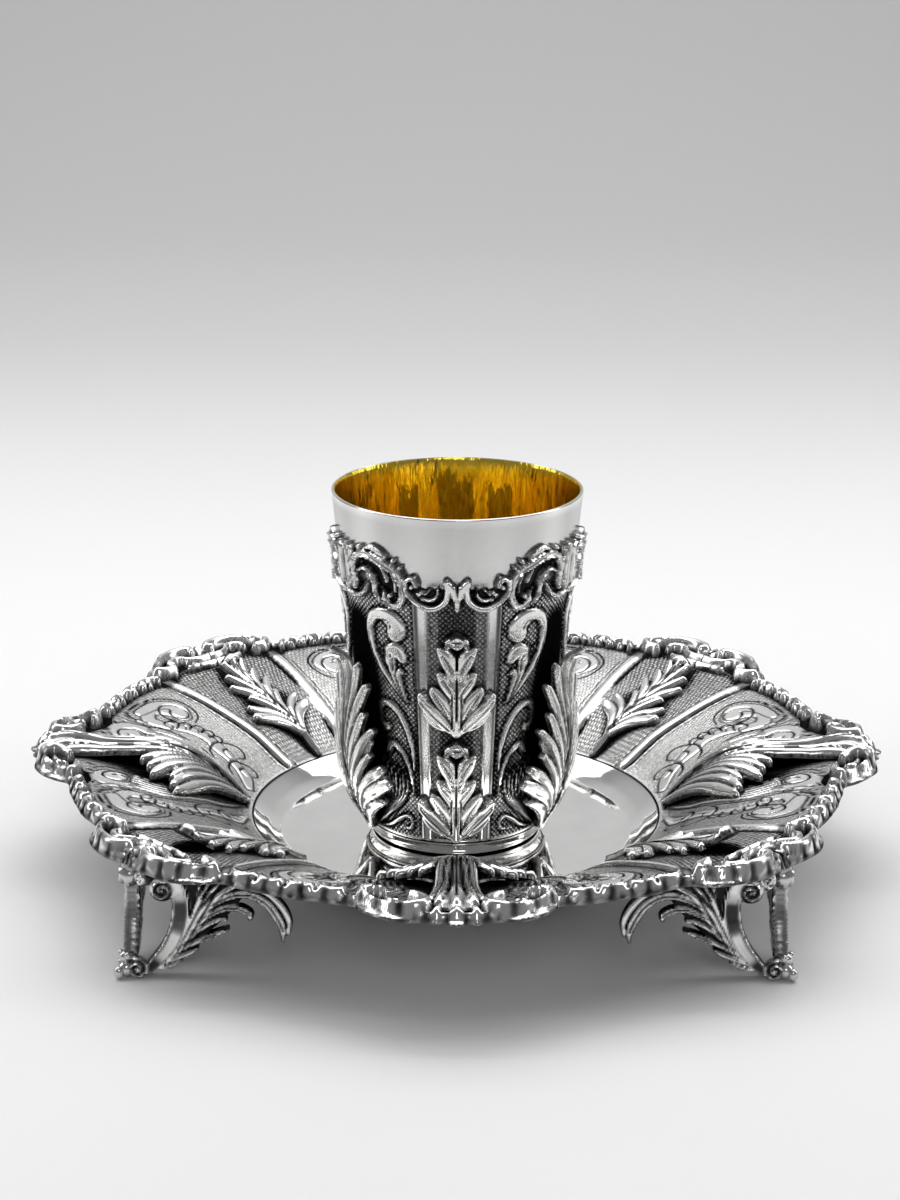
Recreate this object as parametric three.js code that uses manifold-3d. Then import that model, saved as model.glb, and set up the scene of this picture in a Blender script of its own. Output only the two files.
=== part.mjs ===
// Silver kiddush cup standing on its footed dish. Millimetres, +Z up, origin on the
// ground under the centre of the dish. The cup is three-fold, the dish four-fold.
import * as THREE from 'three';
import { mergeVertices } from 'three/addons/utils/BufferGeometryUtils.js';
import Module from 'manifold-3d';

const wasm = await Module();
wasm.setup();

// ---- driving dimensions -------------------------------------------------
const GAP = 0.35;                 // clearance between soldered-on pieces and what carries them
const SEAT_Z = 6.8;               // top of the dish's well, where the cup stands
const CUP_H = 83.2;               // height of the cup
const CUP_R_LOW = 21.3;           // outer radius just above the foot ring
const CUP_R_RIM = 29.1;           // outer radius at the rim
const RING_H = 3.2;               // height of the foot ring
const CUP_WALL = 0.9;             // wall of the cup
const CUP_FLOOR_T = 1.2;          // thickness of the cup's bottom
const BORDER_Z = 66.5;            // middle height of the scroll border above the cup's bottom
const SHEET = 1.1;                // thickness of the dish's sheet
const WELL_R = 42.2;              // flat well of the dish
const RIM_Z = 27.0;               // height of the dish's rim
const FOOT_REACH = 99.5;          // distance of each foot from the axis
const CUP_FOLDS = 3;
const DISH_FOLDS = 4;

// ---- small helpers ------------------------------------------------------
const rad = (d) => (d * Math.PI) / 180;
const lerp = (a, b, t) => a + (b - a) * t;
const smooth = (a, b, x) => { const t = Math.min(1, Math.max(0, (x - a) / (b - a))); return t * t * (3 - 2 * t); };
function table(xs, ys, x) {
  if (x <= xs[0]) return ys[0];
  for (let i = 1; i < xs.length; i++) if (x <= xs[i]) return lerp(ys[i - 1], ys[i], (x - xs[i - 1]) / (xs[i] - xs[i - 1]));
  return ys[ys.length - 1];
}
// a point at azimuth a (degrees, 0 towards -Y, turning towards +X)
const polar = (r, a, z) => new THREE.Vector3(r * Math.sin(rad(a)), -r * Math.cos(rad(a)), z);
// azimuth folded into one mirror-symmetric sector, 0 .. 180/folds
function fold(a, folds) {
  const p = 360 / folds;
  let x = ((a % p) + p) % p;
  return x > p / 2 ? p - x : x;
}

// A closed body between an outer and an inner grid of points, each grid[i][j].
// wrap joins the last i to the first, as in a ring.
function shell(outer, inner, wrap) {
  const n = outer.length, m = outer[0].length, pos = [], idx = [];
  for (const g of [outer, inner]) for (const row of g) for (const p of row) pos.push(p.x, p.y, p.z);
  const O = (i, j) => (i % n) * m + j, I = (i, j) => n * m + (i % n) * m + j;
  const quad = (a, b, c, d) => idx.push(a, b, c, a, c, d);
  const last = wrap ? n : n - 1;
  for (let i = 0; i < last; i++) {
    for (let j = 0; j < m - 1; j++) {
      quad(O(i, j), O(i + 1, j), O(i + 1, j + 1), O(i, j + 1));
      quad(I(i, j), I(i, j + 1), I(i + 1, j + 1), I(i + 1, j));
    }
    quad(O(i, 0), I(i, 0), I(i + 1, 0), O(i + 1, 0));
    quad(O(i, m - 1), O(i + 1, m - 1), I(i + 1, m - 1), I(i, m - 1));
  }
  if (!wrap) {
    for (let j = 0; j < m - 1; j++) {
      quad(O(0, j), O(0, j + 1), I(0, j + 1), I(0, j));
      quad(O(n - 1, j), I(n - 1, j), I(n - 1, j + 1), O(n - 1, j + 1));
    }
  }
  const g = new THREE.BufferGeometry();
  g.setAttribute('position', new THREE.Float32BufferAttribute(pos, 3));
  g.setIndex(idx);
  return outward(g);
}
function volume(g) {
  const p = g.getAttribute('position'), ix = g.getIndex(), a = new THREE.Vector3(), b = new THREE.Vector3(), c = new THREE.Vector3();
  let v = 0;
  for (let i = 0; i < ix.count; i += 3) {
    a.fromBufferAttribute(p, ix.getX(i)); b.fromBufferAttribute(p, ix.getX(i + 1)); c.fromBufferAttribute(p, ix.getX(i + 2));
    v += a.dot(b.cross(c)) / 6;
  }
  return v;
}
function outward(g) {
  if (volume(g) < 0) {
    const ix = g.getIndex();
    for (let i = 0; i < ix.count; i += 3) { const t = ix.getX(i); ix.setX(i, ix.getX(i + 1)); ix.setX(i + 1, t); }
  }
  return g;
}
function merged(g) {
  g.deleteAttribute('normal'); g.deleteAttribute('uv');
  return outward(mergeVertices(g, 1e-4));
}
function solid(g) {
  const q = merged(g);
  return new wasm.Manifold(new wasm.Mesh({
    numProp: 3,
    vertProperties: new Float32Array(q.getAttribute('position').array),
    triVerts: new Uint32Array(q.getIndex().array),
  }));
}
function fromSolid(s) {
  const m = s.getMesh(), g = new THREE.BufferGeometry(), np = m.numProp, v = [];
  for (let i = 0; i < m.vertProperties.length; i += np) v.push(m.vertProperties[i], m.vertProperties[i + 1], m.vertProperties[i + 2]);
  g.setAttribute('position', new THREE.Float32BufferAttribute(v, 3));
  g.setIndex(Array.from(m.triVerts));
  return g;
}

const group = new THREE.Group();
const SILVER = { color: 0xc9cbcd, roughness: 0.2, metalness: 1 };
const OXIDE = { color: 0x9a9c9e, roughness: 0.34, metalness: 1 };
function add(name, geometry, look = SILVER) {
  const g = geometry.index ? geometry : mergeVertices(geometry);
  g.computeVertexNormals();
  const mesh = new THREE.Mesh(g, new THREE.MeshStandardMaterial(look));
  mesh.name = name;
  group.add(mesh);
  return mesh;
}

// ---- the cup ------------------------------------------------------------
// outer radius of the straight cone at height h above the cup's bottom
const cupR = (h) => lerp(CUP_R_LOW, CUP_R_RIM, (h - RING_H) / (CUP_H - RING_H));
const CUP_Z = SEAT_Z + GAP;       // the cup stands in the well on its foot ring

function lathe(profile, segments) {
  const pts = profile.map(([r, z]) => new THREE.Vector2(r, z));
  const g = merged(new THREE.LatheGeometry(pts, segments));
  g.rotateX(Math.PI / 2);
  return outward(g);
}
{
  const low = RING_H + GAP, floor = low + CUP_FLOOR_T;
  const profile = [
    [0, low], [cupR(low) - 0.6, low], [cupR(low), low + 0.6],
    [cupR(30), 30], [cupR(58), 58], [cupR(CUP_H - 0.5), CUP_H - 0.5], [cupR(CUP_H) - 0.25, CUP_H],
    [cupR(CUP_H) - CUP_WALL, CUP_H - 0.2], [cupR(58) - CUP_WALL, 58], [cupR(30) - CUP_WALL, 30],
    [cupR(floor + 3) - CUP_WALL, floor + 3], [cupR(floor + 1) - CUP_WALL - 1, floor + 0.9], [cupR(floor) - CUP_WALL - 3, floor], [0, floor],
  ];
  add('cup_body', lathe(profile, 48)).position.z = CUP_Z;
  const r = CUP_R_LOW;
  add('cup_foot_ring', lathe([
    [r - 4.2, 0], [r - 1.6, 0], [r - 1.1, 0.5], [r - 1.4, 1.0], [r - 0.3, RING_H - 0.6], [r - 0.3, RING_H], [r - 4.2, RING_H], [r - 4.2, 0],
  ], 36)).position.z = CUP_Z;
}

// scroll border round the cup: lower and upper edge and relief by azimuth in one sector
{
  const A = [0, 4, 8, 14, 20, 24, 28, 36, 44, 50, 55, 60];
  const LOW = [62.4, 62.8, 63.8, 63.6, 62.6, 62.4, 61.4, 61.0, 61.6, 63.2, 64.4, 64.6];
  const TOP = [69.4, 68.0, 66.4, 66.2, 67.8, 69.2, 70.2, 71.2, 71.0, 71.6, 73.4, 74.2];
  const T = [2.2, 1.8, 1.2, 1.4, 1.9, 2.2, 1.9, 2.0, 1.9, 2.0, 2.3, 2.4];
  const outer = [], inner = [], N = 72;
  for (let i = 0; i < N; i++) {
    const a = (i * 360) / N, f = fold(a, CUP_FOLDS);
    const lo = table(A, LOW, f), hi = table(A, TOP, f), t = table(A, T, f);
    const row = [], back = [];
    for (const [k, share] of [[0, 0.45], [0.5, 1], [1, 0.45]]) {
      const h = lerp(lo, hi, k);
      row.push(polar(cupR(h) + GAP + t * share, a, CUP_Z + h));
      back.push(polar(cupR(h) + GAP, a, CUP_Z + h));
    }
    outer.push(row); inner.push(back);
  }
  add('cup_border', shell(outer, inner, true), OXIDE);
}

// big acanthus leaves that bow out from the cup, one on each wide panel
// rows along the leaf: height, distance of its back from the axis, half width, sag of the edges
const BIG = [
  [4.0, 22.1, 1.6, 0.1], [6.5, 23.1, 2.4, 0.2], [10.0, 25.2, 4.2, 0.5], [13.0, 26.6, 8.8, 1.0], [16.0, 27.6, 10.2, 1.3],
  [19.5, 28.3, 11.4, 1.6], [24.0, 28.9, 12.6, 1.9], [28.0, 29.3, 10.6, 1.7], [31.5, 29.5, 9.6, 1.5],
  [35.0, 29.5, 7.2, 1.1], [40.0, 29.4, 7.0, 0.9], [45.0, 29.9, 5.2, 0.5], [49.0, 31.0, 4.6, 0.3], [52.0, 33.2, 3.6, 0.1], [52.6, 35.0, 2.0, 0.0],
];
for (let k = 0; k < CUP_FOLDS; k++) {
  const a0 = 60 + k * 120, outer = [], inner = [];
  for (const [h, r, w, sag] of BIG) {
    const row = [], back = [];
    for (const s of [-1, -0.55, 0, 0.55, 1]) {
      const a = a0 + (s * w * 180) / Math.PI / r;
      const rb = Math.max(r - sag * s * s * s * s, cupR(h) + 0.5);
      row.push(polar(rb + 1.2, a, CUP_Z + h));
      back.push(polar(rb, a, CUP_Z + h));
    }
    outer.push(row); inner.push(back);
  }
  add(`cup_leaf_${k + 1}`, shell(outer, inner, false));
}

// two acanthus sprays, one above the other, on each narrow panel
// rows: height above the spray's base, half width, relief
const SPRAY = [
  [0, 0.6, 1.0], [2.5, 3.4, 1.4], [5.5, 8.2, 1.3], [8.5, 7.0, 1.5], [10.5, 4.2, 1.7], [12.5, 2.2, 1.7],
  [15.0, 4.4, 1.7], [17.5, 3.0, 1.9], [19.5, 4.4, 2.0], [21.0, 2.4, 2.3], [23.6, 2.5, 2.9], [24.4, 2.2, 2.2],
];
for (const [tier, base] of [['lower', 4.6], ['upper', 31.4]]) {
  for (let k = 0; k < CUP_FOLDS; k++) {
    const outer = [], inner = [];
    for (const [dh, w, t] of SPRAY) {
      const h = base + dh, r = cupR(h) + GAP + 0.1, half = Math.min(w, rad(13.6) * r), row = [], back = [];
      for (const s of [-1, 0, 1]) {
        const a = k * 120 + (s * half * 180) / Math.PI / r;
        row.push(polar(r + t * (s === 0 ? 1 : 0.5), a, CUP_Z + h));
        back.push(polar(r, a, CUP_Z + h));
      }
      outer.push(row); inner.push(back);
    }
    add(`cup_spray_${tier}_${k + 1}`, shell(outer, inner, false), OXIDE);
  }
}

// ---- the dish -----------------------------------------------------------
// height of the dish's upper surface by distance from the axis
const dishZ = (r) => table([WELL_R, 48.6, 51, 55, 59.5, 64, 69.5, 75, 81, 87, 94, 106], [SEAT_Z, 11.0, 11.8, 14.3, 17.1, 19.0, 20.9, 22.7, 24.2, 25.3, 26.3, RIM_Z], r);
// outline of the dish by azimuth in one eighth
const outline = (a) => table([0, 5, 8, 11, 13.5, 20, 27, 31, 33, 35, 38, 41.5, 45], [100, 99.2, 97.6, 94, 92, 92.4, 92.9, 92.4, 93.4, 96.2, 99.2, 100, 98.8], fold(a, DISH_FOLDS));
{
  const N = 72, top = [], bottom = [];
  const R = [WELL_R, 48.6, 55, 64, 75, 86];
  const under = (r) => dishZ(r) - SHEET * (r <= WELL_R ? 1 : r < 60 ? 1.35 : 1.1);
  for (let i = 0; i < N; i++) {
    const a = (i * 360) / N, edge = outline(a) - 1.6, up = [], down = [];
    for (const r of [...R, edge]) { up.push(polar(r, a, dishZ(r))); down.push(polar(r, a, under(r))); }
    top.push(up); bottom.push(down);
  }
  // the well is closed by a fan round the axis
  const pos = [], idx = [], m = R.length + 1;
  for (const g of [top, bottom]) for (const row of g) for (const p of row) pos.push(p.x, p.y, p.z);
  const T = (i, j) => (i % N) * m + j, B = (i, j) => N * m + (i % N) * m + j;
  const ct = 2 * N * m, cb = ct + 1;
  pos.push(0, 0, SEAT_Z, 0, 0, SEAT_Z - SHEET);
  for (let i = 0; i < N; i++) {
    idx.push(ct, T(i, 0), T(i + 1, 0), cb, B(i + 1, 0), B(i, 0));
    for (let j = 0; j < m - 1; j++) {
      idx.push(T(i, j), T(i, j + 1), T(i + 1, j + 1), T(i, j), T(i + 1, j + 1), T(i + 1, j));
      idx.push(B(i, j), B(i + 1, j + 1), B(i, j + 1), B(i, j), B(i + 1, j), B(i + 1, j + 1));
    }
    idx.push(T(i, m - 1), B(i, m - 1), B(i + 1, m - 1), T(i, m - 1), B(i + 1, m - 1), T(i + 1, m - 1));
  }
  const g = new THREE.BufferGeometry();
  g.setAttribute('position', new THREE.Float32BufferAttribute(pos, 3));
  g.setIndex(idx);
  add('dish', outward(g));
}

// scroll border on the dish's edge: width inward and height by azimuth in one eighth
{
  const A = [0, 4, 7.5, 11, 13.5, 20, 27, 31, 34, 38, 42, 45];
  const WIDE = [6, 6, 9.5, 8, 4.4, 4.2, 4.4, 5.5, 9.5, 11, 11.5, 9.5];
  const HIGH = [2.8, 2.8, 3.0, 3.0, 2.0, 1.8, 1.8, 2.4, 3.2, 2.4, 3.0, 2.4];
  const N = 96, outer = [], inner = [];
  for (let i = 0; i < N; i++) {
    const a = (i * 360) / N, f = fold(a, DISH_FOLDS), edge = outline(a), w = table(A, WIDE, f), hgt = table(A, HIGH, f);
    const row = [], back = [];
    for (const [k, up] of [[0, 0.3], [0.45, 1], [1, 0.2]]) {
      const r = edge - w * (1 - k), z = dishZ(r) + GAP + 0.1;
      row.push(polar(r, a, z + hgt * up));
      back.push(polar(r, a, z));
    }
    outer.push(row); inner.push(back);
  }
  add('dish_border', shell(outer, inner, true), OXIDE);
}

// leaves standing over the flare of the dish; rows: distance from the axis, height of the
// back above the ground, half width, sag of the edges
const FLARE_BIG = [
  [49.8, 12.9, 1.4, 0.0], [53.0, 16.0, 2.6, 0.0], [57.0, 20.0, 6.0, 0.4], [61.0, 23.2, 10.5, 1.4], [65.0, 25.2, 14.0, 2.4], [69.0, 26.2, 14.6, 3.0],
  [72.0, 26.6, 9.0, 1.2], [75.0, 26.6, 6.4, 0.6], [78.0, 26.4, 4.4, 0.2], [82.5, 26.7, 4.8, 0.1], [87.5, 27.8, 5.8, 0.1],
  [91.5, 28.5, 6.0, 0.2], [94.2, 28.8, 3.2, 0.1],
];
const FLARE_SMALL = [
  [49.0, 12.9, 0.9, 0.0], [53.0, 15.0, 1.3, 0.0], [57.0, 17.6, 2.6, 0.1], [61.0, 19.6, 6.0, 0.6], [65.0, 21.1, 7.6, 1.0],
  [68.5, 22.2, 5.4, 0.5], [72.0, 23.4, 4.8, 0.3], [76.0, 24.6, 5.2, 0.3], [79.0, 25.6, 4.2, 0.2], [81.5, 26.8, 3.2, 0.1], [83.5, 28.2, 2.0, 0.0],
];
function flareLeaf(rows, a0, spread, thick) {
  const outer = [], inner = [];
  for (const [r, z, w, sag] of rows) {
    const row = [], back = [];
    for (const s of spread) {
      const q = polar(r, a0, z), x = s * w;
      q.x += x * Math.cos(rad(a0)); q.y += x * Math.sin(rad(a0));
      q.z = Math.max(z - sag * s * s, dishZ(Math.hypot(q.x, q.y)) + 0.55);
      back.push(q); row.push(new THREE.Vector3(q.x, q.y, q.z + thick));
    }
    outer.push(row); inner.push(back);
  }
  return shell(outer, inner, false);
}
for (let k = 0; k < DISH_FOLDS; k++) {
  add(`dish_big_leaf_${k + 1}`, flareLeaf(FLARE_BIG, k * 90, [-1, -0.5, 0, 0.5, 1], 1.2));
  add(`dish_small_leaf_${k + 1}`, flareLeaf(FLARE_SMALL, 45 + k * 90, [-1, 0, 1], 1.1));
}

// ---- the feet -----------------------------------------------------------
// Each foot is one casting: two openwork wings at right angles to each other, meeting in a
// scrolled toe under the corner of the dish.
function plate(points, thickness) {
  const s = new THREE.Shape(points.map(([x, y]) => new THREE.Vector2(x, y)));
  const g = new THREE.ExtrudeGeometry(s, { depth: thickness, bevelEnabled: false });
  g.translate(0, 0, -thickness / 2);
  return g;
}
// band that follows a line of points in the plane, with its own half width at each
function ribbon(line, half) {
  const left = [], right = [];
  line.forEach((p, i) => {
    const a = line[Math.max(0, i - 1)], b = line[Math.min(line.length - 1, i + 1)];
    const dx = b[0] - a[0], dy = b[1] - a[1], l = Math.hypot(dx, dy), w = half[i];
    left.push([p[0] - (dy / l) * w, p[1] + (dx / l) * w]);
    right.push([p[0] + (dy / l) * w, p[1] - (dx / l) * w]);
  });
  return [...left, ...right.reverse()];
}
// u runs inward from the toe, z upward
const LEAF_OUTLINE = [
  [1.6, 1.0], [4.6, 1.6], [8.2, 3.4], [8.6, 5.0], [13.2, 7.6], [13.6, 9.2], [18.4, 11.2], [18.8, 12.8], [22.6, 13.2], [24.2, 15.0],
  [24.6, 17.6], [26.6, 15.8], [28.0, 12.4], [30.0, 8.0], [32.0, 11.6], [32.0, 15.0], [30.0, 19.0], [28.0, 21.2], [20.0, 23.4], [13.5, 24.2], [12.0, 18.0], [10.4, 12.0], [6.0, 5.4],
];
const BAND = [[5.6, 24.2], [8.6, 21.6], [9.8, 17.6], [9.6, 13.4], [7.8, 9.2], [4.8, 5.4], [1.6, 2.4]];
const BAND_HALF = [1.6, 1.5, 1.5, 1.5, 1.4, 1.3, 1.2];
const WING_START = 1.8;           // how far inward of the toe's centre a wing's drawing begins
function wing() {
  const leaf = solid(plate(LEAF_OUTLINE, 2.2));
  const band = solid(plate(ribbon(BAND, BAND_HALF), 3.0));
  const volute = new THREE.CylinderGeometry(2.3, 2.3, 4.2, 8);
  volute.rotateX(Math.PI / 2);
  volute.translate(5.4, 20.4, 0);
  return leaf.add(band).add(solid(volute)).translate([WING_START, 0, 0]);
}
function foot() {
  // in the foot's own frame the toe is at the origin and the axis lies along -X +Y diagonal
  const place = (g, m) => g.transform(m.elements ? Array.from(m.elements) : m);
  const one = wing();
  const toAlongX = new THREE.Matrix4().makeBasis(new THREE.Vector3(-1, 0, 0), new THREE.Vector3(0, 0, 1), new THREE.Vector3(0, 1, 0));
  const toAlongY = new THREE.Matrix4().makeBasis(new THREE.Vector3(0, 1, 0), new THREE.Vector3(0, 0, 1), new THREE.Vector3(1, 0, 0));
  const toe = new THREE.SphereGeometry(3.7, 12, 7);
  toe.rotateX(Math.PI / 2);
  toe.scale(1.0, 1.0, 0.8);
  toe.translate(-0.2, 0.2, 2.3);
  let body = place(one, toAlongX).add(place(one, toAlongY)).add(solid(toe));
  // level underside
  const ground = new THREE.BoxGeometry(40, 40, 10);
  ground.translate(0, 0, -5);
  body = body.subtract(solid(ground));
  return body;
}
// keeps the top of each foot clear of the dish's underside
function underDish() {
  const N = 10, rows = [60, 76, 88, 108], top = [], low = [];
  for (let i = 0; i <= N; i++) {
    const a = lerp(-50, 50, i / N) + 45, up = [], down = [];
    for (const r of rows) { down.push(polar(r, a, dishZ(r) - SHEET * 1.1 - GAP - 0.35)); up.push(polar(r, a, 60)); }
    top.push(up); low.push(down);
  }
  return solid(shell(top, low, false));
}
{
  const half = FOOT_REACH / Math.SQRT2;
  const base = foot().translate([half, -half, 0]).subtract(underDish());
  const g = fromSolid(base);
  for (let k = 0; k < DISH_FOLDS; k++) add(`foot_${k + 1}`, g.clone().rotateZ(k * Math.PI / 2), OXIDE);
}

export default group;
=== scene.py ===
import math

import bpy
import numpy as np
from mathutils import Matrix, Vector


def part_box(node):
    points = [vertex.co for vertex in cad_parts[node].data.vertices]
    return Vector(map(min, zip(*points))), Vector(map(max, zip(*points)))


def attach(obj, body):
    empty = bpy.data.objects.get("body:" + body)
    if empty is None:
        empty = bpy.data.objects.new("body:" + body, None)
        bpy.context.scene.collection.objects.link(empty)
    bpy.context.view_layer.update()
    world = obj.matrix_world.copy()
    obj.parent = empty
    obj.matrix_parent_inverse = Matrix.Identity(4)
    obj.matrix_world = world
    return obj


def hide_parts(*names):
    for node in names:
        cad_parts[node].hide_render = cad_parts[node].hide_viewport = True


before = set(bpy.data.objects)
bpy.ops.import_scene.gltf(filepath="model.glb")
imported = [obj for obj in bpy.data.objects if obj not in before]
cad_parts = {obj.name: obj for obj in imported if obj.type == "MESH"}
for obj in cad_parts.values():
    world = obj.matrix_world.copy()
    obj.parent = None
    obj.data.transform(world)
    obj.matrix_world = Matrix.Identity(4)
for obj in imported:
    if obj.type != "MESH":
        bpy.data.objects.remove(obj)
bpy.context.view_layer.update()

MM = 0.001
rng = np.random.default_rng(7)

# ---------------------------------------------------------------- sizes (mm, the part's own frame)
lo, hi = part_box("cup_body")
CUP_TOP = hi.z / MM
lo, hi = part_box("cup_foot_ring")
CUP_Z = lo.z / MM                     # underside of the cup
CUP_H = CUP_TOP - CUP_Z
RING_H = 3.2
R_LOW, R_RIM = 21.3, 29.1
SEAT_Z = 6.8
WELL_R = 42.2
RIM_Z = 27.0
SHEET = 1.1


def cupR(h):
    return R_LOW + (R_RIM - R_LOW) * (np.asarray(h, float) - RING_H) / (CUP_H - RING_H)


DR = [WELL_R, 48.6, 51, 55, 59.5, 64, 69.5, 75, 81, 87, 94, 106]
DZ = [SEAT_Z, 11.0, 11.8, 14.3, 17.1, 19.0, 20.9, 22.7, 24.2, 25.3, 26.3, RIM_Z]


def smoothed(xs, ys, n=600, sigma=10):
    x = np.linspace(xs[0], xs[-1], n)
    y = np.interp(x, xs, ys)
    k = np.arange(-3 * sigma, 3 * sigma + 1)
    g = np.exp(-0.5 * (k / sigma) ** 2)
    g /= g.sum()
    y2 = np.convolve(np.pad(y, 3 * sigma, mode="reflect", reflect_type="odd"), g, mode="valid")
    return x, y2


_dx, _dz = smoothed(DR[1:], DZ[1:])


def dishZ(r):
    return np.interp(r, _dx, _dz)


def fold(a, folds):
    p = 360.0 / folds
    x = np.mod(a, p)
    return np.where(x > p / 2, p - x, x)


OUT_A = [0, 5, 8, 11, 13.5, 20, 27, 31, 33, 35, 38, 41.5, 45]
OUT_R = [100, 99.2, 97.6, 94, 92, 92.4, 92.9, 92.4, 93.4, 96.2, 99.2, 100, 98.8]


def outline(a):
    return np.interp(fold(a, 4), OUT_A, OUT_R)


def polar(r, a, z):
    a = np.radians(a)
    r, z = np.broadcast_arrays(np.asarray(r, float), np.asarray(z, float))
    return np.stack([r * np.sin(a), -r * np.cos(a), z + 0 * a], -1)


# ---------------------------------------------------------------- relief rasters
def cr(points, n=7):
    """A smooth line through points; every column of points is carried along."""
    p = np.asarray(points, float)
    if len(p) < 3:
        return p
    q = np.vstack([2 * p[0] - p[1], p, 2 * p[-1] - p[-2]])
    out = []
    for i in range(1, len(q) - 2):
        for t in np.linspace(0, 1, n, endpoint=False):
            a, b, c, d = q[i - 1], q[i], q[i + 1], q[i + 2]
            out.append(0.5 * ((2 * b) + (c - a) * t + (2 * a - 5 * b + 4 * c - d) * t * t + (3 * b - a - 3 * c + d) * t ** 3))
    out.append(p[-1])
    return np.array(out)


def spiral(cx, cy, r0, r1, a0, turns, n=26):
    t = np.linspace(0, 1, n)
    r = r0 + (r1 - r0) * t
    a = np.radians(a0) + 2 * np.pi * turns * t
    return np.stack([cx + r * np.cos(a), cy + r * np.sin(a)], -1)


def blur(f, s, mode="edge"):
    k = int(max(1, math.ceil(3 * s)))
    x = np.arange(-k, k + 1)
    g = np.exp(-0.5 * (x / s) ** 2)
    g /= g.sum()
    for ax in (0, 1):
        pad = [(0, 0), (0, 0)]
        pad[ax] = (k, k)
        q = np.pad(f, pad, mode=mode)
        out = np.zeros_like(f)
        n = f.shape[ax]
        for i, w in enumerate(g):
            out += w * (q[i:i + n] if ax == 0 else q[:, i:i + n])
        f = out
    return f


def p_round(q, t):
    return np.sqrt(np.clip(1 - q * q, 0, 1))


def p_soft(q, t):
    return np.clip(1 - q * q, 0, 1)


def p_flat(q, t):
    return np.clip((1 - np.abs(q)) / 0.35, 0, 1) ** 0.6


def p_hollow(q, t):
    """A leaf finger: rounded, raised at both edges and grooved along the middle."""
    e = np.sqrt(np.clip(1 - q * q, 0, 1))
    return e * (0.72 + 0.42 * q * q) - 0.22 * np.exp(-(q / 0.16) ** 2)


def p_ribbed(q, t):
    e = np.clip((1 - q * q), 0, 1) ** 0.45
    return e * (0.82 + 0.18 * np.cos(q * 9.4))


def p_trough(q, t):
    """A band with two raised edges."""
    e = np.clip((1 - np.abs(q)) / 0.16, 0, 1) ** 0.6
    return e * (0.55 + 0.45 * np.clip((np.abs(q) - 0.45) / 0.35, 0, 1))


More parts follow.
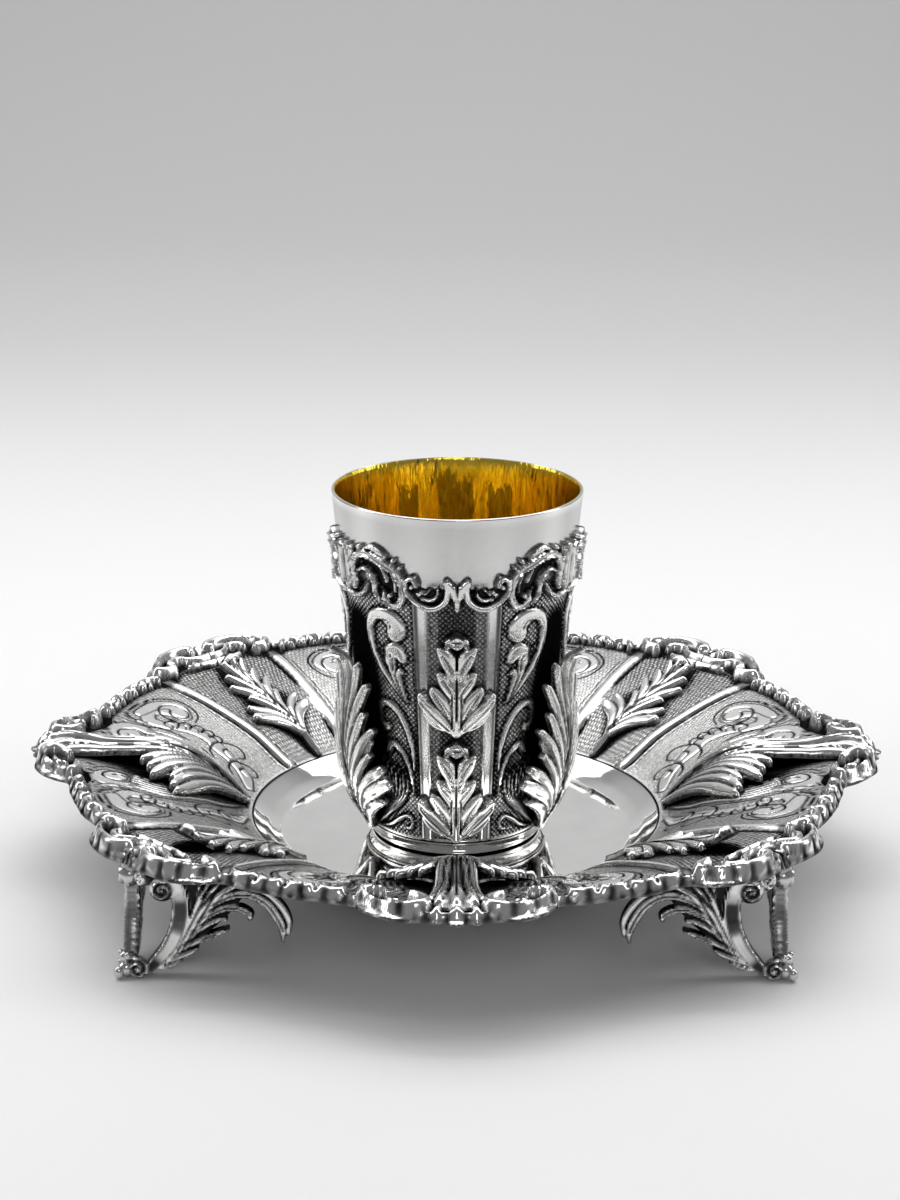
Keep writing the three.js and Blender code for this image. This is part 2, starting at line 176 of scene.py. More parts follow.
class Relief:
    def __init__(s, x0, x1, y0, y1, px, base=0.0):
        s.px, s.x0, s.y0 = px, x0, y0
        s.x = np.arange(x0, x1 + px * 0.5, px)
        s.y = np.arange(y0, y1 + px * 0.5, px)
        shape = (len(s.x), len(s.y))
        s.h = np.full(shape, float(base))
        s.d = np.full(shape, -6.0)
        s.mat = np.zeros(shape)
        s.ox = np.zeros(shape)
        s.hat = np.zeros(shape)

    def near(s, pts, w, pad=0.9):
        pts = np.asarray(pts, float)
        w = np.broadcast_to(np.asarray(w, float), (len(pts),))
        m = w.max() + pad
        i0 = max(0, int((pts[:, 0].min() - m - s.x0) / s.px))
        i1 = min(len(s.x), int((pts[:, 0].max() + m - s.x0) / s.px) + 2)
        j0 = max(0, int((pts[:, 1].min() - m - s.y0) / s.px))
        j1 = min(len(s.y), int((pts[:, 1].max() + m - s.y0) / s.px) + 2)
        if i1 <= i0 or j1 <= j0:
            return None
        X, Y = s.x[i0:i1, None], s.y[None, j0:j1]
        shape = (i1 - i0, j1 - j0)
        best = np.full(shape, 1e9)
        dist, wl, side, tt = (np.zeros(shape) for _ in range(4))
        n = len(pts) - 1
        for k in range(n):
            a, b = pts[k], pts[k + 1]
            d = b - a
            l2 = float(d @ d)
            if l2 < 1e-12:
                continue
            u = np.clip(((X - a[0]) * d[0] + (Y - a[1]) * d[1]) / l2, 0, 1)
            dx, dy = X - (a[0] + u * d[0]), Y - (a[1] + u * d[1])
            di = np.hypot(dx, dy)
            ww = w[k] + (w[k + 1] - w[k]) * u
            key = di - ww
            better = key < best
            best = np.where(better, key, best)
            dist = np.where(better, di, dist)
            wl = np.where(better, ww, wl)
            side = np.where(better, np.sign(d[0] * dy - d[1] * dx), side)
            tt = np.where(better, (k + u) / n, tt)
        return (slice(i0, i1), slice(j0, j1)), dist, np.maximum(wl, 1e-3), side, tt

    def up(s, line, H=1.0, prof=p_round, base=0.0, solid=True, n=7):
        """Raises a stroke. line rows are x, y, half width and, if given, height."""
        L = cr(line, n)
        got = s.near(L[:, :2], L[:, 2])
        if got is None:
            return
        sl, dist, wl, side, t = got
        hh = H if L.shape[1] < 4 else np.interp(t, np.linspace(0, 1, len(L)), L[:, 3])
        q = side * dist / wl
        inside = np.abs(q) < 1
        val = np.where(inside, base + hh * prof(np.clip(q, -1, 1), t), -9)
        s.h[sl] = np.maximum(s.h[sl], val)
        if solid:
            s.d[sl] = np.maximum(s.d[sl], wl - dist)

    def cut(s, line, H=0.3, prof=p_soft, n=7, ox=0.0):
        L = cr(line, n)
        got = s.near(L[:, :2], L[:, 2])
        if got is None:
            return
        sl, dist, wl, side, t = got
        q = np.clip(dist / wl, 0, 1)
        hh = H if L.shape[1] < 4 else np.interp(t, np.linspace(0, 1, len(L)), L[:, 3])
        s.h[sl] -= hh * prof(q, t)
        if ox:
            s.ox[sl] = np.maximum(s.ox[sl], ox * prof(q, t))

    def ball(s, x, y, r, H, solid=True):
        X, Y = s.x[:, None], s.y[None, :]
        d = np.hypot(X - x, Y - y)
        v = np.where(d < r, H * np.sqrt(np.clip(1 - (d / r) ** 2, 0, 1)), -9)
        s.h = np.maximum(s.h, v)
        if solid:
            s.d = np.maximum(s.d, r - d)

    def field(s, f, x, y):
        u = np.clip((np.asarray(x) - s.x0) / s.px, 0, len(s.x) - 1.001)
        v = np.clip((np.asarray(y) - s.y0) / s.px, 0, len(s.y) - 1.001)
        i, j = u.astype(int), v.astype(int)
        u, v = u - i, v - j
        return (f[i, j] * (1 - u) * (1 - v) + f[i + 1, j] * u * (1 - v) + f[i, j + 1] * (1 - u) * v + f[i + 1, j + 1] * u * v)

    def oxidise(s, sigma=0.8, gain=0.35, mode="edge"):
        b = blur(s.h, sigma / s.px, mode)
        s.ox = np.clip(np.maximum(s.ox, (b - s.h) / gain), 0, 1)


# ---------------------------------------------------------------- meshes
def build(name, V, quads=(), tris=(), polys=(), attrs=None, sharp=40):
    V = np.asarray(V, np.float32).reshape(-1, 3) * MM
    me = bpy.data.meshes.new(name)
    loops, starts, n = [], [], 0
    for F in (quads, tris):
        F = np.asarray(F, np.int32)
        if F.size:
            k = F.shape[1]
            loops.append(F.reshape(-1))
            starts.append(n + k * np.arange(len(F)))
            n += F.size
    for p in polys:
        loops.append(np.asarray(p, np.int32))
        starts.append(np.array([n]))
        n += len(p)
    loops = np.concatenate(loops)
    starts = np.concatenate(starts)
    me.vertices.add(len(V))
    me.vertices.foreach_set("co", V.reshape(-1))
    me.loops.add(len(loops))
    me.loops.foreach_set("vertex_index", loops)
    me.polygons.add(len(starts))
    me.polygons.foreach_set("loop_start", starts.astype(np.int32))
    me.update(calc_edges=True)
    me.validate()
    for key, val in (attrs or {}).items():
        val = np.asarray(val, np.float32)
        if val.ndim == 2:
            at = me.attributes.new(key, "FLOAT_VECTOR", "POINT")
            at.data.foreach_set("vector", val.reshape(-1))
        else:
            at = me.attributes.new(key, "FLOAT", "POINT")
            at.data.foreach_set("value", val)
    me.polygons.foreach_set("use_smooth", np.ones(len(me.polygons), bool))
    if sharp:
        me.set_sharp_from_angle(angle=math.radians(sharp))
    ob = bpy.data.objects.new(name, me)
    bpy.context.scene.collection.objects.link(ob)
    return ob


def signed_volume(V, quads):
    a, b, c, d = (V[quads[:, k]] for k in range(4))
    return float(np.einsum("ij,ij->i", a, np.cross(b, c)).sum() + np.einsum("ij,ij->i", a, np.cross(c, d)).sum()) / 6


def shell_mesh(name, top, bottom, wrap=False, attrs=None, sharp=40, attrs_bottom=None):
    """Closed body between two grids of points (n, m, 3)."""
    n, m = top.shape[:2]
    V = np.concatenate([top.reshape(-1, 3), bottom.reshape(-1, 3)])
    N = n * m
    i = np.arange(n if wrap else n - 1)
    I, J = np.meshgrid(i, np.arange(m - 1), indexing="ij")
    I2 = (I + 1) % n
    a, b, c, d = I * m + J, I2 * m + J, I2 * m + J + 1, I * m + J + 1
    T = np.stack([a, b, c, d], -1).reshape(-1, 4)
    B = T[:, ::-1] + N
    ii, i2 = i, (i + 1) % n
    s0 = np.stack([ii * m, ii * m + N, i2 * m + N, i2 * m], -1)
    s1 = np.stack([ii * m + m - 1, i2 * m + m - 1, i2 * m + m - 1 + N, ii * m + m - 1 + N], -1)
    F = [T, B, s0, s1]
    if not wrap:
        j = np.arange(m - 1)
        F.append(np.stack([j, j + 1, j + 1 + N, j + N], -1))
        k = (n - 1) * m
        F.append(np.stack([k + j, k + j + N, k + j + 1 + N, k + j + 1], -1))
    F = np.concatenate(F)
    if signed_volume(V.astype(float), F) < 0:
        F = F[:, ::-1]
    at = {}
    for key, val in (attrs or {}).items():
        val = np.asarray(val, float)
        other = (attrs_bottom or {}).get(key)
        if val.ndim == 3:
            v = val.reshape(-1, 3)
            at[key] = np.concatenate([v, v if other is None else np.broadcast_to(other, v.shape)])
        else:
            v = val.reshape(-1)
            at[key] = np.concatenate([v, v if other is None else np.broadcast_to(other, v.shape)])
    return build(name, V, quads=F, attrs=at, sharp=sharp)


def hybrid_shell(name, top, bottom, wrap, attrs, sharp=60, back=None):
    """Closed body between a fine grid (n, m, 3) and a coarse one with the same n columns (n, k, 3)."""
    n, m = top.shape[:2]
    k = bottom.shape[1]
    V = np.concatenate([top.reshape(-1, 3), bottom.reshape(-1, 3)])
    N = n * m
    i = np.arange(n if wrap else n - 1)
    F = []
    for mm, off, flip in ((m, 0, False), (k, N, True)):
        I, J = np.meshgrid(i, np.arange(mm - 1), indexing="ij")
        I2 = (I + 1) % n
        q = np.stack([I * mm + J, I2 * mm + J, I2 * mm + J + 1, I * mm + J + 1], -1).reshape(-1, 4) + off
        F.append(q[:, ::-1] if flip else q)
    i2 = (i + 1) % n
    F.append(np.stack([i * m, N + i * k, N + i2 * k, i2 * m], -1))
    F.append(np.stack([i * m + m - 1, i2 * m + m - 1, N + i2 * k + k - 1, N + i * k + k - 1], -1))
    F = np.concatenate(F)
    polys = []
    if not wrap:
        polys.append(list(range(0, m)) + [N + j for j in range(k - 1, -1, -1)])
        a, b = (n - 1) * m, N + (n - 1) * k
        polys.append(([a + j for j in range(0, m)] + [b + j for j in range(k - 1, -1, -1)])[::-1])
    if signed_volume(V.astype(float), F) < 0:
        F = F[:, ::-1]
        polys = [p[::-1] for p in polys]
    at = {}
    for key, val in attrs.items():
        val = np.asarray(val, float)
        nb = n * k
        if val.ndim == 3:
            at[key] = np.concatenate([val.reshape(-1, 3), np.zeros((nb, 3)) if back is None or key not in back else np.asarray(back[key], float).reshape(-1, 3)])
        else:
            v = 0.0 if back is None or key not in back else back[key]
            at[key] = np.concatenate([val.reshape(-1), np.full(nb, float(v))])
    return build(name, V, quads=F, polys=polys, attrs=at, sharp=sharp)


def lathe_mesh(name, profile, seg=192, attrs=None, sharp=35):
    """profile: (r, z) rows; it starts and ends on the axis or closes on itself."""
    P = np.asarray(profile, float)
    closed = np.allclose(P[0], P[-1])
    if closed:
        P = P[:-1]
    a = np.arange(seg) * 360.0 / seg
    V, rows, k = [], [], 0
    for r, z in P:
        if r < 1e-6:
            V.append([[0, 0, z]])
            rows.append(np.full(seg, k))
            k += 1
        else:
            V.append(polar(r, a, z))
            rows.append(k + np.arange(seg))
            k += seg
    V = np.concatenate([np.asarray(v, float).reshape(-1, 3) for v in V])
    quads, tris = [], []
    pairs = [(i, i + 1) for i in range(len(P) - 1)] + ([(len(P) - 1, 0)] if closed else [])
    for i, j in pairs:
        A, B = rows[i], rows[j]
        A2, B2 = np.roll(A, -1), np.roll(B, -1)
        if P[i][0] < 1e-6:
            tris.append(np.stack([A, B, B2], -1))
        elif P[j][0] < 1e-6:
            tris.append(np.stack([A, B, A2], -1))
        else:
            quads.append(np.stack([A, B, B2, A2], -1))
    q = np.concatenate(quads) if quads else np.zeros((0, 4), int)
    t = np.concatenate(tris) if tris else np.zeros((0, 3), int)
    vol = signed_volume(V, q) if len(q) else 0
    if len(t):
        vol += float(np.einsum("ij,ij->i", V[t[:, 0]], np.cross(V[t[:, 1]], V[t[:, 2]])).sum()) / 6
    if vol < 0:
        q, t = q[:, ::-1], t[:, ::-1]
    at = {}
    for key, val in (attrs or {}).items():
        at[key] = np.full(len(V), float(val)) if np.isscalar(val) else val(V)
    return build(name, V, quads=q, tris=t, attrs=at, sharp=sharp)


def cutout(R, step, margin=0.0):
    """The relief's solid area as a polygon mesh in the plane: vertices, polygons and the edge of it."""
    nx, ny = int((R.x[-1] - R.x[0]) / step) + 1, int((R.y[-1] - R.y[0]) / step) + 1
    X, Y = np.meshgrid(R.x[0] + step * np.arange(nx), R.y[0] + step * np.arange(ny), indexing="ij")
    D = R.field(R.d, X, Y) - margin
    D[0, :], D[-1, :] = np.minimum(D[0, :], -0.01), np.minimum(D[-1, :], -0.01)
    D[:, 0], D[:, -1] = np.minimum(D[:, 0], -0.01), np.minimum(D[:, -1], -0.01)
    D = np.where(np.abs(D) < 0.02 * step, -0.02 * step, D)
    ins = D > 0
    vid = -np.ones(ins.shape, int)
    vid[ins] = np.arange(ins.sum())
    P = [np.stack([X[ins], Y[ins]], -1)]
    k = int(ins.sum())
    hx = -np.ones(ins.shape, int)
    m = ins[:-1, :] != ins[1:, :]
    t = np.clip(D[:-1, :][m] / (D[:-1, :][m] - D[1:, :][m]), 0.06, 0.94)
    P.append(np.stack([X[:-1, :][m] + step * t, Y[:-1, :][m]], -1))
    ii, jj = np.nonzero(m)
    hx[ii, jj] = k + np.arange(len(ii))
    k += len(ii)
    hy = -np.ones(ins.shape, int)
    m = ins[:, :-1] != ins[:, 1:]
    t = np.clip(D[:, :-1][m] / (D[:, :-1][m] - D[:, 1:][m]), 0.06, 0.94)
    P.append(np.stack([X[:, :-1][m], Y[:, :-1][m] + step * t], -1))
    ii, jj = np.nonzero(m)
    hy[ii, jj] = k + np.arange(len(ii))
    k += len(ii)
    P = np.concatenate(P)
    c = ins[:-1, :-1].astype(int) + ins[1:, :-1] + ins[1:, 1:] + ins[:-1, 1:]
    fi, fj = np.nonzero(c == 4)
    quads = np.stack([vid[fi, fj], vid[fi + 1, fj], vid[fi + 1, fj + 1], vid[fi, fj + 1]], -1)
    polys = []
    for i, j in zip(*np.nonzero((c > 0) & (c < 4))):
        corners = [(i, j), (i + 1, j), (i + 1, j + 1), (i, j + 1)]
        cross = [hx[i, j], hy[i + 1, j], hx[i, j + 1], hy[i, j]]
        p = []
        for q in range(4):
            if ins[corners[q]]:
                p.append(vid[corners[q]])
            if cross[q] >= 0:
                p.append(cross[q])
        if len(p) >= 3:
            polys.append(p)
    return P, quads, polys


def relief_body(name, R, place, step=0.3, back=0.6, attrs=None, sharp=50, thick=None, both=False):
    """A closed body from a relief: place(x, y, h) gives 3-D points; the back lies at -back, or mirrors the front."""
    P, quads, polys = cutout(R, step)
    x, y = P[:, 0], P[:, 1]
    h = R.field(R.h, x, y)
    top = place(x, y, h)
    bk = -back if thick is None else h - thick
    if both:
        bk = -back - h
    bot = place(x, y, bk + 0 * h)
    n = len(P)
    edges = {}
    faces = [list(q) for q in quads] + polys
    for f in faces:
        for a, b in zip(f, f[1:] + f[:1]):
            edges[(a, b)] = True
    walls = [(a, b) for (a, b) in edges if (b, a) not in edges]
    walls = np.array(walls)
    sq = np.stack([walls[:, 1], walls[:, 0], walls[:, 0] + n, walls[:, 1] + n], -1)
    Q = np.concatenate([quads, quads[:, ::-1] + n, sq]) if len(quads) else sq
    PP = [p for p in polys] + [[v + n for v in p[::-1]] for p in polys]
    V = np.concatenate([top, bot])
    vol = signed_volume(V, Q)
    for p in PP:
        for k in range(1, len(p) - 1):
            vol += float(V[p[0]] @ np.cross(V[p[k]], V[p[k + 1]])) / 6
    if vol < 0:
        Q = Q[:, ::-1]
        PP = [p[::-1] for p in PP]
    ox = R.field(R.ox, x, y)
    mt = R.field(R.mat, x, y)
    at = {"ox": np.concatenate([ox, ox if both else np.full(n, 0.55)]), "mat": np.concatenate([mt, np.zeros(n)]),
          "pc": np.concatenate([np.stack([x, y, 0 * x], -1)] * 2)}
    return build(name, V, quads=Q, polys=PP, attrs=at, sharp=sharp)


def copy_turned(ob, name, deg):
    o = bpy.data.objects.new(name, ob.data.copy())
    c, s = math.cos(math.radians(deg)), math.sin(math.radians(deg))
    o.data.transform(Matrix(((c, -s, 0, 0), (s, c, 0, 0), (0, 0, 1, 0), (0, 0, 0, 1))))
    bpy.context.scene.collection.objects.link(o)
    return o


def finish_piece(ob, mat, nodes):
    ob.data.materials.clear()
    ob.data.materials.append(mat)
    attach(ob, "root")
    if nodes:
        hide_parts(*([nodes] if isinstance(nodes, str) else nodes))
    return ob


# ---------------------------------------------------------------- materials
def new_material(name):
    m = bpy.data.materials.new(name)
    m.use_nodes = True
    nt = m.node_tree
    nt.nodes.clear()
    out = nt.nodes.new("ShaderNodeOutputMaterial")
    bs = nt.nodes.new("ShaderNodeBsdfPrincipled")
    nt.links.new(bs.outputs[0], out.inputs[0])
    return m, nt, bs


class N:
    """Short hand for wiring nodes."""

    def __init__(s, nt):
        s.nt = nt

    def _in(s, node, key, v):
        sock = node.inputs[key]
        if hasattr(v, "links") or isinstance(v, bpy.types.NodeSocket):
            s.nt.links.new(v, sock)
        else:
            sock.default_value = v

    def math(s, op, a, b=0.0, c=None, clamp=False):
        n = s.nt.nodes.new("ShaderNodeMath")
        n.operation = op
        n.use_clamp = clamp
        s._in(n, 0, a)
        s._in(n, 1, b)
        if c is not None:
            s._in(n, 2, c)
        return n.outputs[0]

    def attr(s, name, vec=False):
        n = s.nt.nodes.new("ShaderNodeAttribute")
        n.attribute_type = "GEOMETRY"
        n.attribute_name = name
        return n.outputs["Vector"] if vec else n.outputs["Fac"]

    def coord(s):
        return s.nt.nodes.new("ShaderNodeTexCoord").outputs["Object"]

    def noise(s, vec, scale, detail=3.0, rough=0.55, distort=0.0):
        n = s.nt.nodes.new("ShaderNodeTexNoise")
        s._in(n, "Vector", vec)
        n.inputs["Scale"].default_value = scale
        n.inputs["Detail"].default_value = detail
        n.inputs["Roughness"].default_value = rough
        n.inputs["Distortion"].default_value = distort
        return n.outputs["Fac"]

    def voronoi(s, vec, scale, feature="F1", rand=1.0):
        n = s.nt.nodes.new("ShaderNodeTexVoronoi")
        n.feature = feature
        s._in(n, "Vector", vec)
        n.inputs["Scale"].default_value = scale
        n.inputs["Randomness"].default_value = rand
        return n.outputs["Distance"]

    def mapping(s, vec, scale=(1, 1, 1), rot=(0, 0, 0)):
        n = s.nt.nodes.new("ShaderNodeMapping")
        s._in(n, "Vector", vec)
        n.inputs["Scale"].default_value = scale
        n.inputs["Rotation"].default_value = rot
        return n.outputs[0]

    def mix(s, fac, a, b):
        n = s.nt.nodes.new("ShaderNodeMix")
        n.data_type = "RGBA"
        s._in(n, 0, fac)
        s._in(n, 6, a)
        s._in(n, 7, b)
        return n.outputs[2]

    def ramp(s, fac, stops):
        n = s.nt.nodes.new("ShaderNodeMapRange")
        n.inputs["From Min"].default_value = stops[0]
        n.inputs["From Max"].default_value = stops[1]
        n.inputs["To Min"].default_value = stops[2]
        n.inputs["To Max"].default_value = stops[3]
        n.clamp = True
        s._in(n, 0, fac)
        return n.outputs[0]

    def bump(s, height, strength, distance, normal=None):
        n = s.nt.nodes.new("ShaderNodeBump")
        n.inputs["Strength"].default_value = strength
        n.inputs["Distance"].default_value = distance
        s._in(n, "Height", height)
        if normal is not None:
            s.nt.links.new(normal, n.inputs["Normal"])
        return n.outputs[0]


def silver(name, rough=0.14, tone=(0.90, 0.895, 0.885), dark=(0.011, 0.011, 0.012), scratch=0.5, wave=0.25):
    m, nt, bs = new_material(name)
    w = N(nt)
    P = w.coord()
    pc = w.attr("pc", True)
    ox = w.attr("ox")
    mt = w.attr("mat")
    cloud = w.noise(P, 90.0, 3.0)
    fine = w.noise(P, 900.0, 2.0)
    # punched ground: close small pits
    pits = w.voronoi(pc, 2.3)
    pit = w.ramp(pits, (0.10, 0.46, 1.0, 0.0))
    # a fine uneven net of hatching in two directions
    wob = w.noise(pc, 1.3, 2.0)
    nets = []
    for sx in (1.0, -1.0):
        ha = nt.nodes.new("ShaderNodeTexWave")
        ha.bands_direction = "DIAGONAL"
        nt.links.new(w.mapping(pc, (sx, 1.0, 1.0)), ha.inputs["Vector"])
        ha.inputs["Scale"].default_value = 0.50
        ha.inputs["Distortion"].default_value = 2.6
        ha.inputs["Detail"].default_value = 2.0
        ha.inputs["Detail Scale"].default_value = 1.6
        nets.append(w.math("SUBTRACT", 1.0, ha.outputs["Fac"]))
    cross = w.ramp(w.math("MAXIMUM", nets[0], nets[1]), (0.40, 0.84, 0.0, 1.0))
    cross = w.math("MULTIPLY", cross, w.ramp(wob, (0.3, 0.6, 0.6, 1.0)))
    hat = w.attr("hat")
    ground = w.math("ADD", w.math("MULTIPLY", pit, w.math("SUBTRACT", 1.0, hat)), w.math("MULTIPLY", cross, hat))
    pitted = w.math("MULTIPLY", ground, mt)
    # oxide lies in the hollows, together with the shade painted into the same attribute; both thin out where the
    # surface is rubbed
    wear = w.ramp(cloud, (0.3, 0.7, -0.10, 0.12))
    o = w.math("ADD", ox, w.math("MULTIPLY", pitted, 0.85))
    o = w.math("ADD", o, w.math("MULTIPLY", wear, o), clamp=True)
    shade = w.ramp(cloud, (0.25, 0.75, 0.0, 1.0))
    bright = w.mix(shade, tuple(c * 0.89 for c in tone) + (1,), tone + (1,))
    # tarnish and painted shade deepen quickly, so half-filled hollows already look dark
    deep = w.math("SUBTRACT", 1.0, w.math("POWER", w.math("SUBTRACT", 1.0, o), 1.75))
    col = w.mix(deep, bright, dark + (1,))
    nt.links.new(col, bs.inputs["Base Color"])
    nt.links.new(w.mix(deep, (1, 1, 1, 1), (0.10, 0.10, 0.105, 1)), bs.inputs["Specular Tint"])
    bs.inputs["Metallic"].default_value = 1.0
    r = w.math("ADD", w.ramp(fine, (0.3, 0.7, rough * 0.75, rough * 1.35)), w.math("MULTIPLY", o, 0.22))
    r = w.math("ADD", r, w.math("MULTIPLY", mt, 0.10), clamp=True)
    nt.links.new(r, bs.inputs["Roughness"])
    # relief too fine for the mesh: pits and hatching, polishing scratches, the faint waves of hand work
    scr = w.noise(w.mapping(P, (60.0, 60.0, 900.0)), 3.0, 2.0)
    nrm = w.bump(w.math("MULTIPLY", pitted, -1.0), 0.85, 0.00022)
    nrm = w.bump(scr, 0.05 * scratch, 0.0001, nrm)
    nrm = w.bump(w.noise(P, 160.0, 2.0), wave, 0.00012, nrm)
    nt.links.new(nrm, bs.inputs["Normal"])
    return m


def gilt():
    m, nt, bs = new_material("gilt_lining")
    w = N(nt)
    pc = w.attr("pc", True)
    streak = w.noise(w.mapping(pc, (0.42, 0.42, 0.045)), 1.0, 3.0, 0.6)
    reflection_noise = w.noise(w.mapping(pc, (0.34, 0.34, 0.085)), 1.0, 5.0, 0.62)
    fine = w.noise(w.mapping(pc, (3.2, 3.2, 0.16)), 1.0, 3.0)
    tone = w.ramp(streak, (0.38, 0.62, 0.0, 1.0))
    col = w.mix(tone, (0.94, 0.665, 0.055, 1), (0.98, 0.75, 0.115, 1))
    # painted reflection: darker patches where the surroundings are mirrored dark in the gilding
    reflection_mask = w.math("ADD", reflection_noise, w.math("MULTIPLY", w.attr("ox"), 0.26))
    col = w.mix(w.ramp(reflection_mask, (0.585, 0.645, 0.0, 0.85)), col, (0.22, 0.17, 0.05, 1))
    col = w.mix(w.ramp(fine, (0.46, 0.62, 0.0, 0.20)), col, (0.50, 0.30, 0.04, 1))
    nt.links.new(col, bs.inputs["Base Color"])
    bs.inputs["Metallic"].default_value = 1.0
    nt.links.new(w.ramp(fine, (0.3, 0.7, 0.10, 0.24)), bs.inputs["Roughness"])
    nrm = w.bump(fine, 0.10, 0.0002)
    nrm = w.bump(streak, 0.5, 0.0009, nrm)
    nt.links.new(nrm, bs.inputs["Normal"])
    return m


M_PLAIN = silver("silver_plain", rough=0.10, wave=0.22)
M_MIRROR = silver("silver_mirror", rough=0.055, wave=0.05, scratch=0.7)
M_CHASED = silver("silver_chased", rough=0.17, wave=0.35)
M_LEAF = silver("silver_leaf", rough=0.16, wave=0.6)
M_CAST = silver("silver_cast", rough=0.18, wave=0.6, dark=(0.016, 0.016, 0.017))
M_GILT = gilt()

# ---------------------------------------------------------------- the cup's wall
K = 0.436          # mm for each degree round the cup in its relief


def A(rows):
    """Rows given as (azimuth, height, half width, ...) in the relief's own millimetres."""
    return [(r[0] * K, *r[1:]) for r in rows]


W = Relief(0, 60 * K, RING_H, CUP_H, 0.12)
PX, PY = W.x[:, None] / K, W.y[None, :]            # azimuth and height over the raster
in_panel = (PY < 66.5) & (PY > RING_H + 0.9)
narrow = (PX < 14.2) & in_panel
wide = (PX > 22.4) & in_panel
W.h = np.where(narrow, -0.45, np.where(wide, -0.32, 0.0)) + 0 * W.h
W.h = blur(W.h, 1.6, "edge")
W.mat = np.where(narrow, 0.92, np.where(wide, 0.80, 0.0)) + 0 * W.h
W.ox = np.where(narrow, 0.24, np.where(wide, 0.05, 0.0)) + 0 * W.h
W.hat = np.where(wide, 1.0, 0.55) + 0 * W.h
# darker round the sprays, and painted shade on the wall behind the border, deepening upwards
W.ox = np.where(narrow & (np.abs(PX) < 9) & (PY < 62), np.maximum(W.ox, 0.50), W.ox)
W.ox = np.maximum(W.ox, np.clip((PY - 60.5) / 3.0, 0, 1) * (PY < 66.5) * np.where(narrow, 0.80, 0.35))


def wall_up(rows, H, prof=p_flat, base=-0.3):
    L = cr(A(rows))
    got = W.near(L[:, :2], L[:, 2])
    if got is None:
        return
    sl, dist, wl, side, t = got
    q = side * dist / wl
    inside = np.abs(q) < 1
    val = np.where(inside, base + H * prof(np.clip(q, -1, 1), t), -9)
    raised = val > W.h[sl]
    W.h[sl] = np.maximum(W.h[sl], val)
    k = np.clip((wl - dist) / 0.2, 0, 1)
    W.mat[sl] *= 1 - k
    W.ox[sl] *= 1 - k
    edge = np.exp(-((dist - wl) / 0.22) ** 2)
    W.ox[sl] = np.maximum(W.ox[sl], 0.9 * edge)


def wall_cut(rows, depth, ox=0.9):
    W.cut(A(rows), depth, ox=ox)


# polished strips either side of each narrow panel, with a beaded edge
for c, wd in ((18.3, 1.74),):
    wall_up([(c, 2.0, wd), (c, 30, wd), (c, 64.5, wd)], 0.55, p_flat, -0.3)
for c in (14.4, 22.2):
    wall_cut([(c, RING_H + 0.6, 0.16), (c, 63.5, 0.16)], 0.22, 0.75)
wall_up([(20.6, 3.4, 0.28), (20.6, 32, 0.28), (20.4, 63, 0.2)], 0.5, p_round, -0.05)
# the great scroll of the wide panel
wall_up([(27.6, 38.4, 0.45), (34.5, 42.0, 0.75), (42.0, 46.0, 0.95), (47.0, 50.4, 1.0), (48.2, 54.6, 1.15), (45.2, 58.0, 1.45),
         (39.2, 58.9, 1.75), (33.4, 57.8, 2.3), (31.0, 55.9, 2.5), (32.6, 54.6, 2.1)], 0.85, p_flat)
wall_cut([(40.6, 57.0, 0.17), (37.8, 57.9, 0.17), (34.8, 56.9, 0.17), (34.2, 55.7, 0.12)], 0.42, 0.95)
wall_cut([(45.6, 57.2, 0.12), (46.4, 54.0, 0.12), (45.4, 51.0, 0.12), (40.0, 46.6, 0.1)], 0.22, 0.5)
# lobe below it, with a row of strands running down to the strip
wall_up([(27.4, 38.6, 0.4), (32.4, 43.0, 0.85), (36.0, 47.2, 1.5), (35.4, 50.0, 2.0), (31.2, 50.6, 1.9), (28.6, 48.9, 1.35)], 0.75, p_flat)
wall_up([(26.6, 38.4, 0.35), (29.4, 41.6, 0.6), (31.0, 44.2, 0.8), (30.4, 45.8, 0.75), (28.2, 45.4, 0.5)], 0.78, p_flat)
wall_cut([(35.6, 49.3, 0.22), (34.2, 48.0, 0.15), (34.2, 45.4, 0.13), (30.6, 41.2, 0.1)], 0.4, 0.95)
wall_cut([(37.8, 47.2, 0.13), (36.6, 44.6, 0.13), (31.6, 40.6, 0.1)], 0.34, 0.8)
wall_cut([(31.8, 46.6, 0.13), (31.9, 43.8, 0.13), (29.2, 40.2, 0.1)], 0.34, 0.85)
wall_cut([(28.0, 46.4, 0.16), (30.4, 46.9, 0.16), (31.9, 45.8, 0.12)], 0.3, 0.85)
wall_up([(40.4, 47.4, 0.25), (39.0, 49.6, 0.35), (39.6, 51.0, 0.25)], 0.6, p_round)
wall_up([(43.8, 49.6, 0.2), (43.0, 51.4, 0.28)], 0.55, p_round)
# second scroll, half hidden by the big leaf
wall_up([(24.4, 21.5, 0.4), (25.2, 27.0, 0.75), (29.0, 32.6, 1.0), (35.4, 36.4, 1.1), (42.4, 37.0, 1.1), (46.6, 34.4, 1.15), (45.4, 31.6, 1.3), (41.6, 31.0, 1.3)], 0.8, p_flat)
wall_cut([(44.8, 34.4, 0.15), (42.4, 35.0, 0.15), (39.8, 33.6, 0.15), (39.0, 31.4, 0.12)], 0.36, 0.9)
wall_up([(25.0, 15.0, 0.35), (27.0, 20.4, 0.7), (31.4, 25.0, 0.95), (37.6, 27.2, 1.05), (41.0, 25.2, 1.0)], 0.72, p_flat)
# fluted strands that close in on the foot of the big leaf
for k in range(7):
    u = k / 6
    wall_up([(57.4 - 2.0 * u, 5.0, 0.22), (50.5 - 7.5 * u, 8.6 + 0.6 * u, 0.42), (46.0 - 13.0 * u, 13.0, 0.5), (45.0 - 15.5 * u, 18.0 - 1.0 * u, 0.42), (46.6 - 16.0 * u, 23.4 - 2.6 * u, 0.18)],
            0.66, p_round)
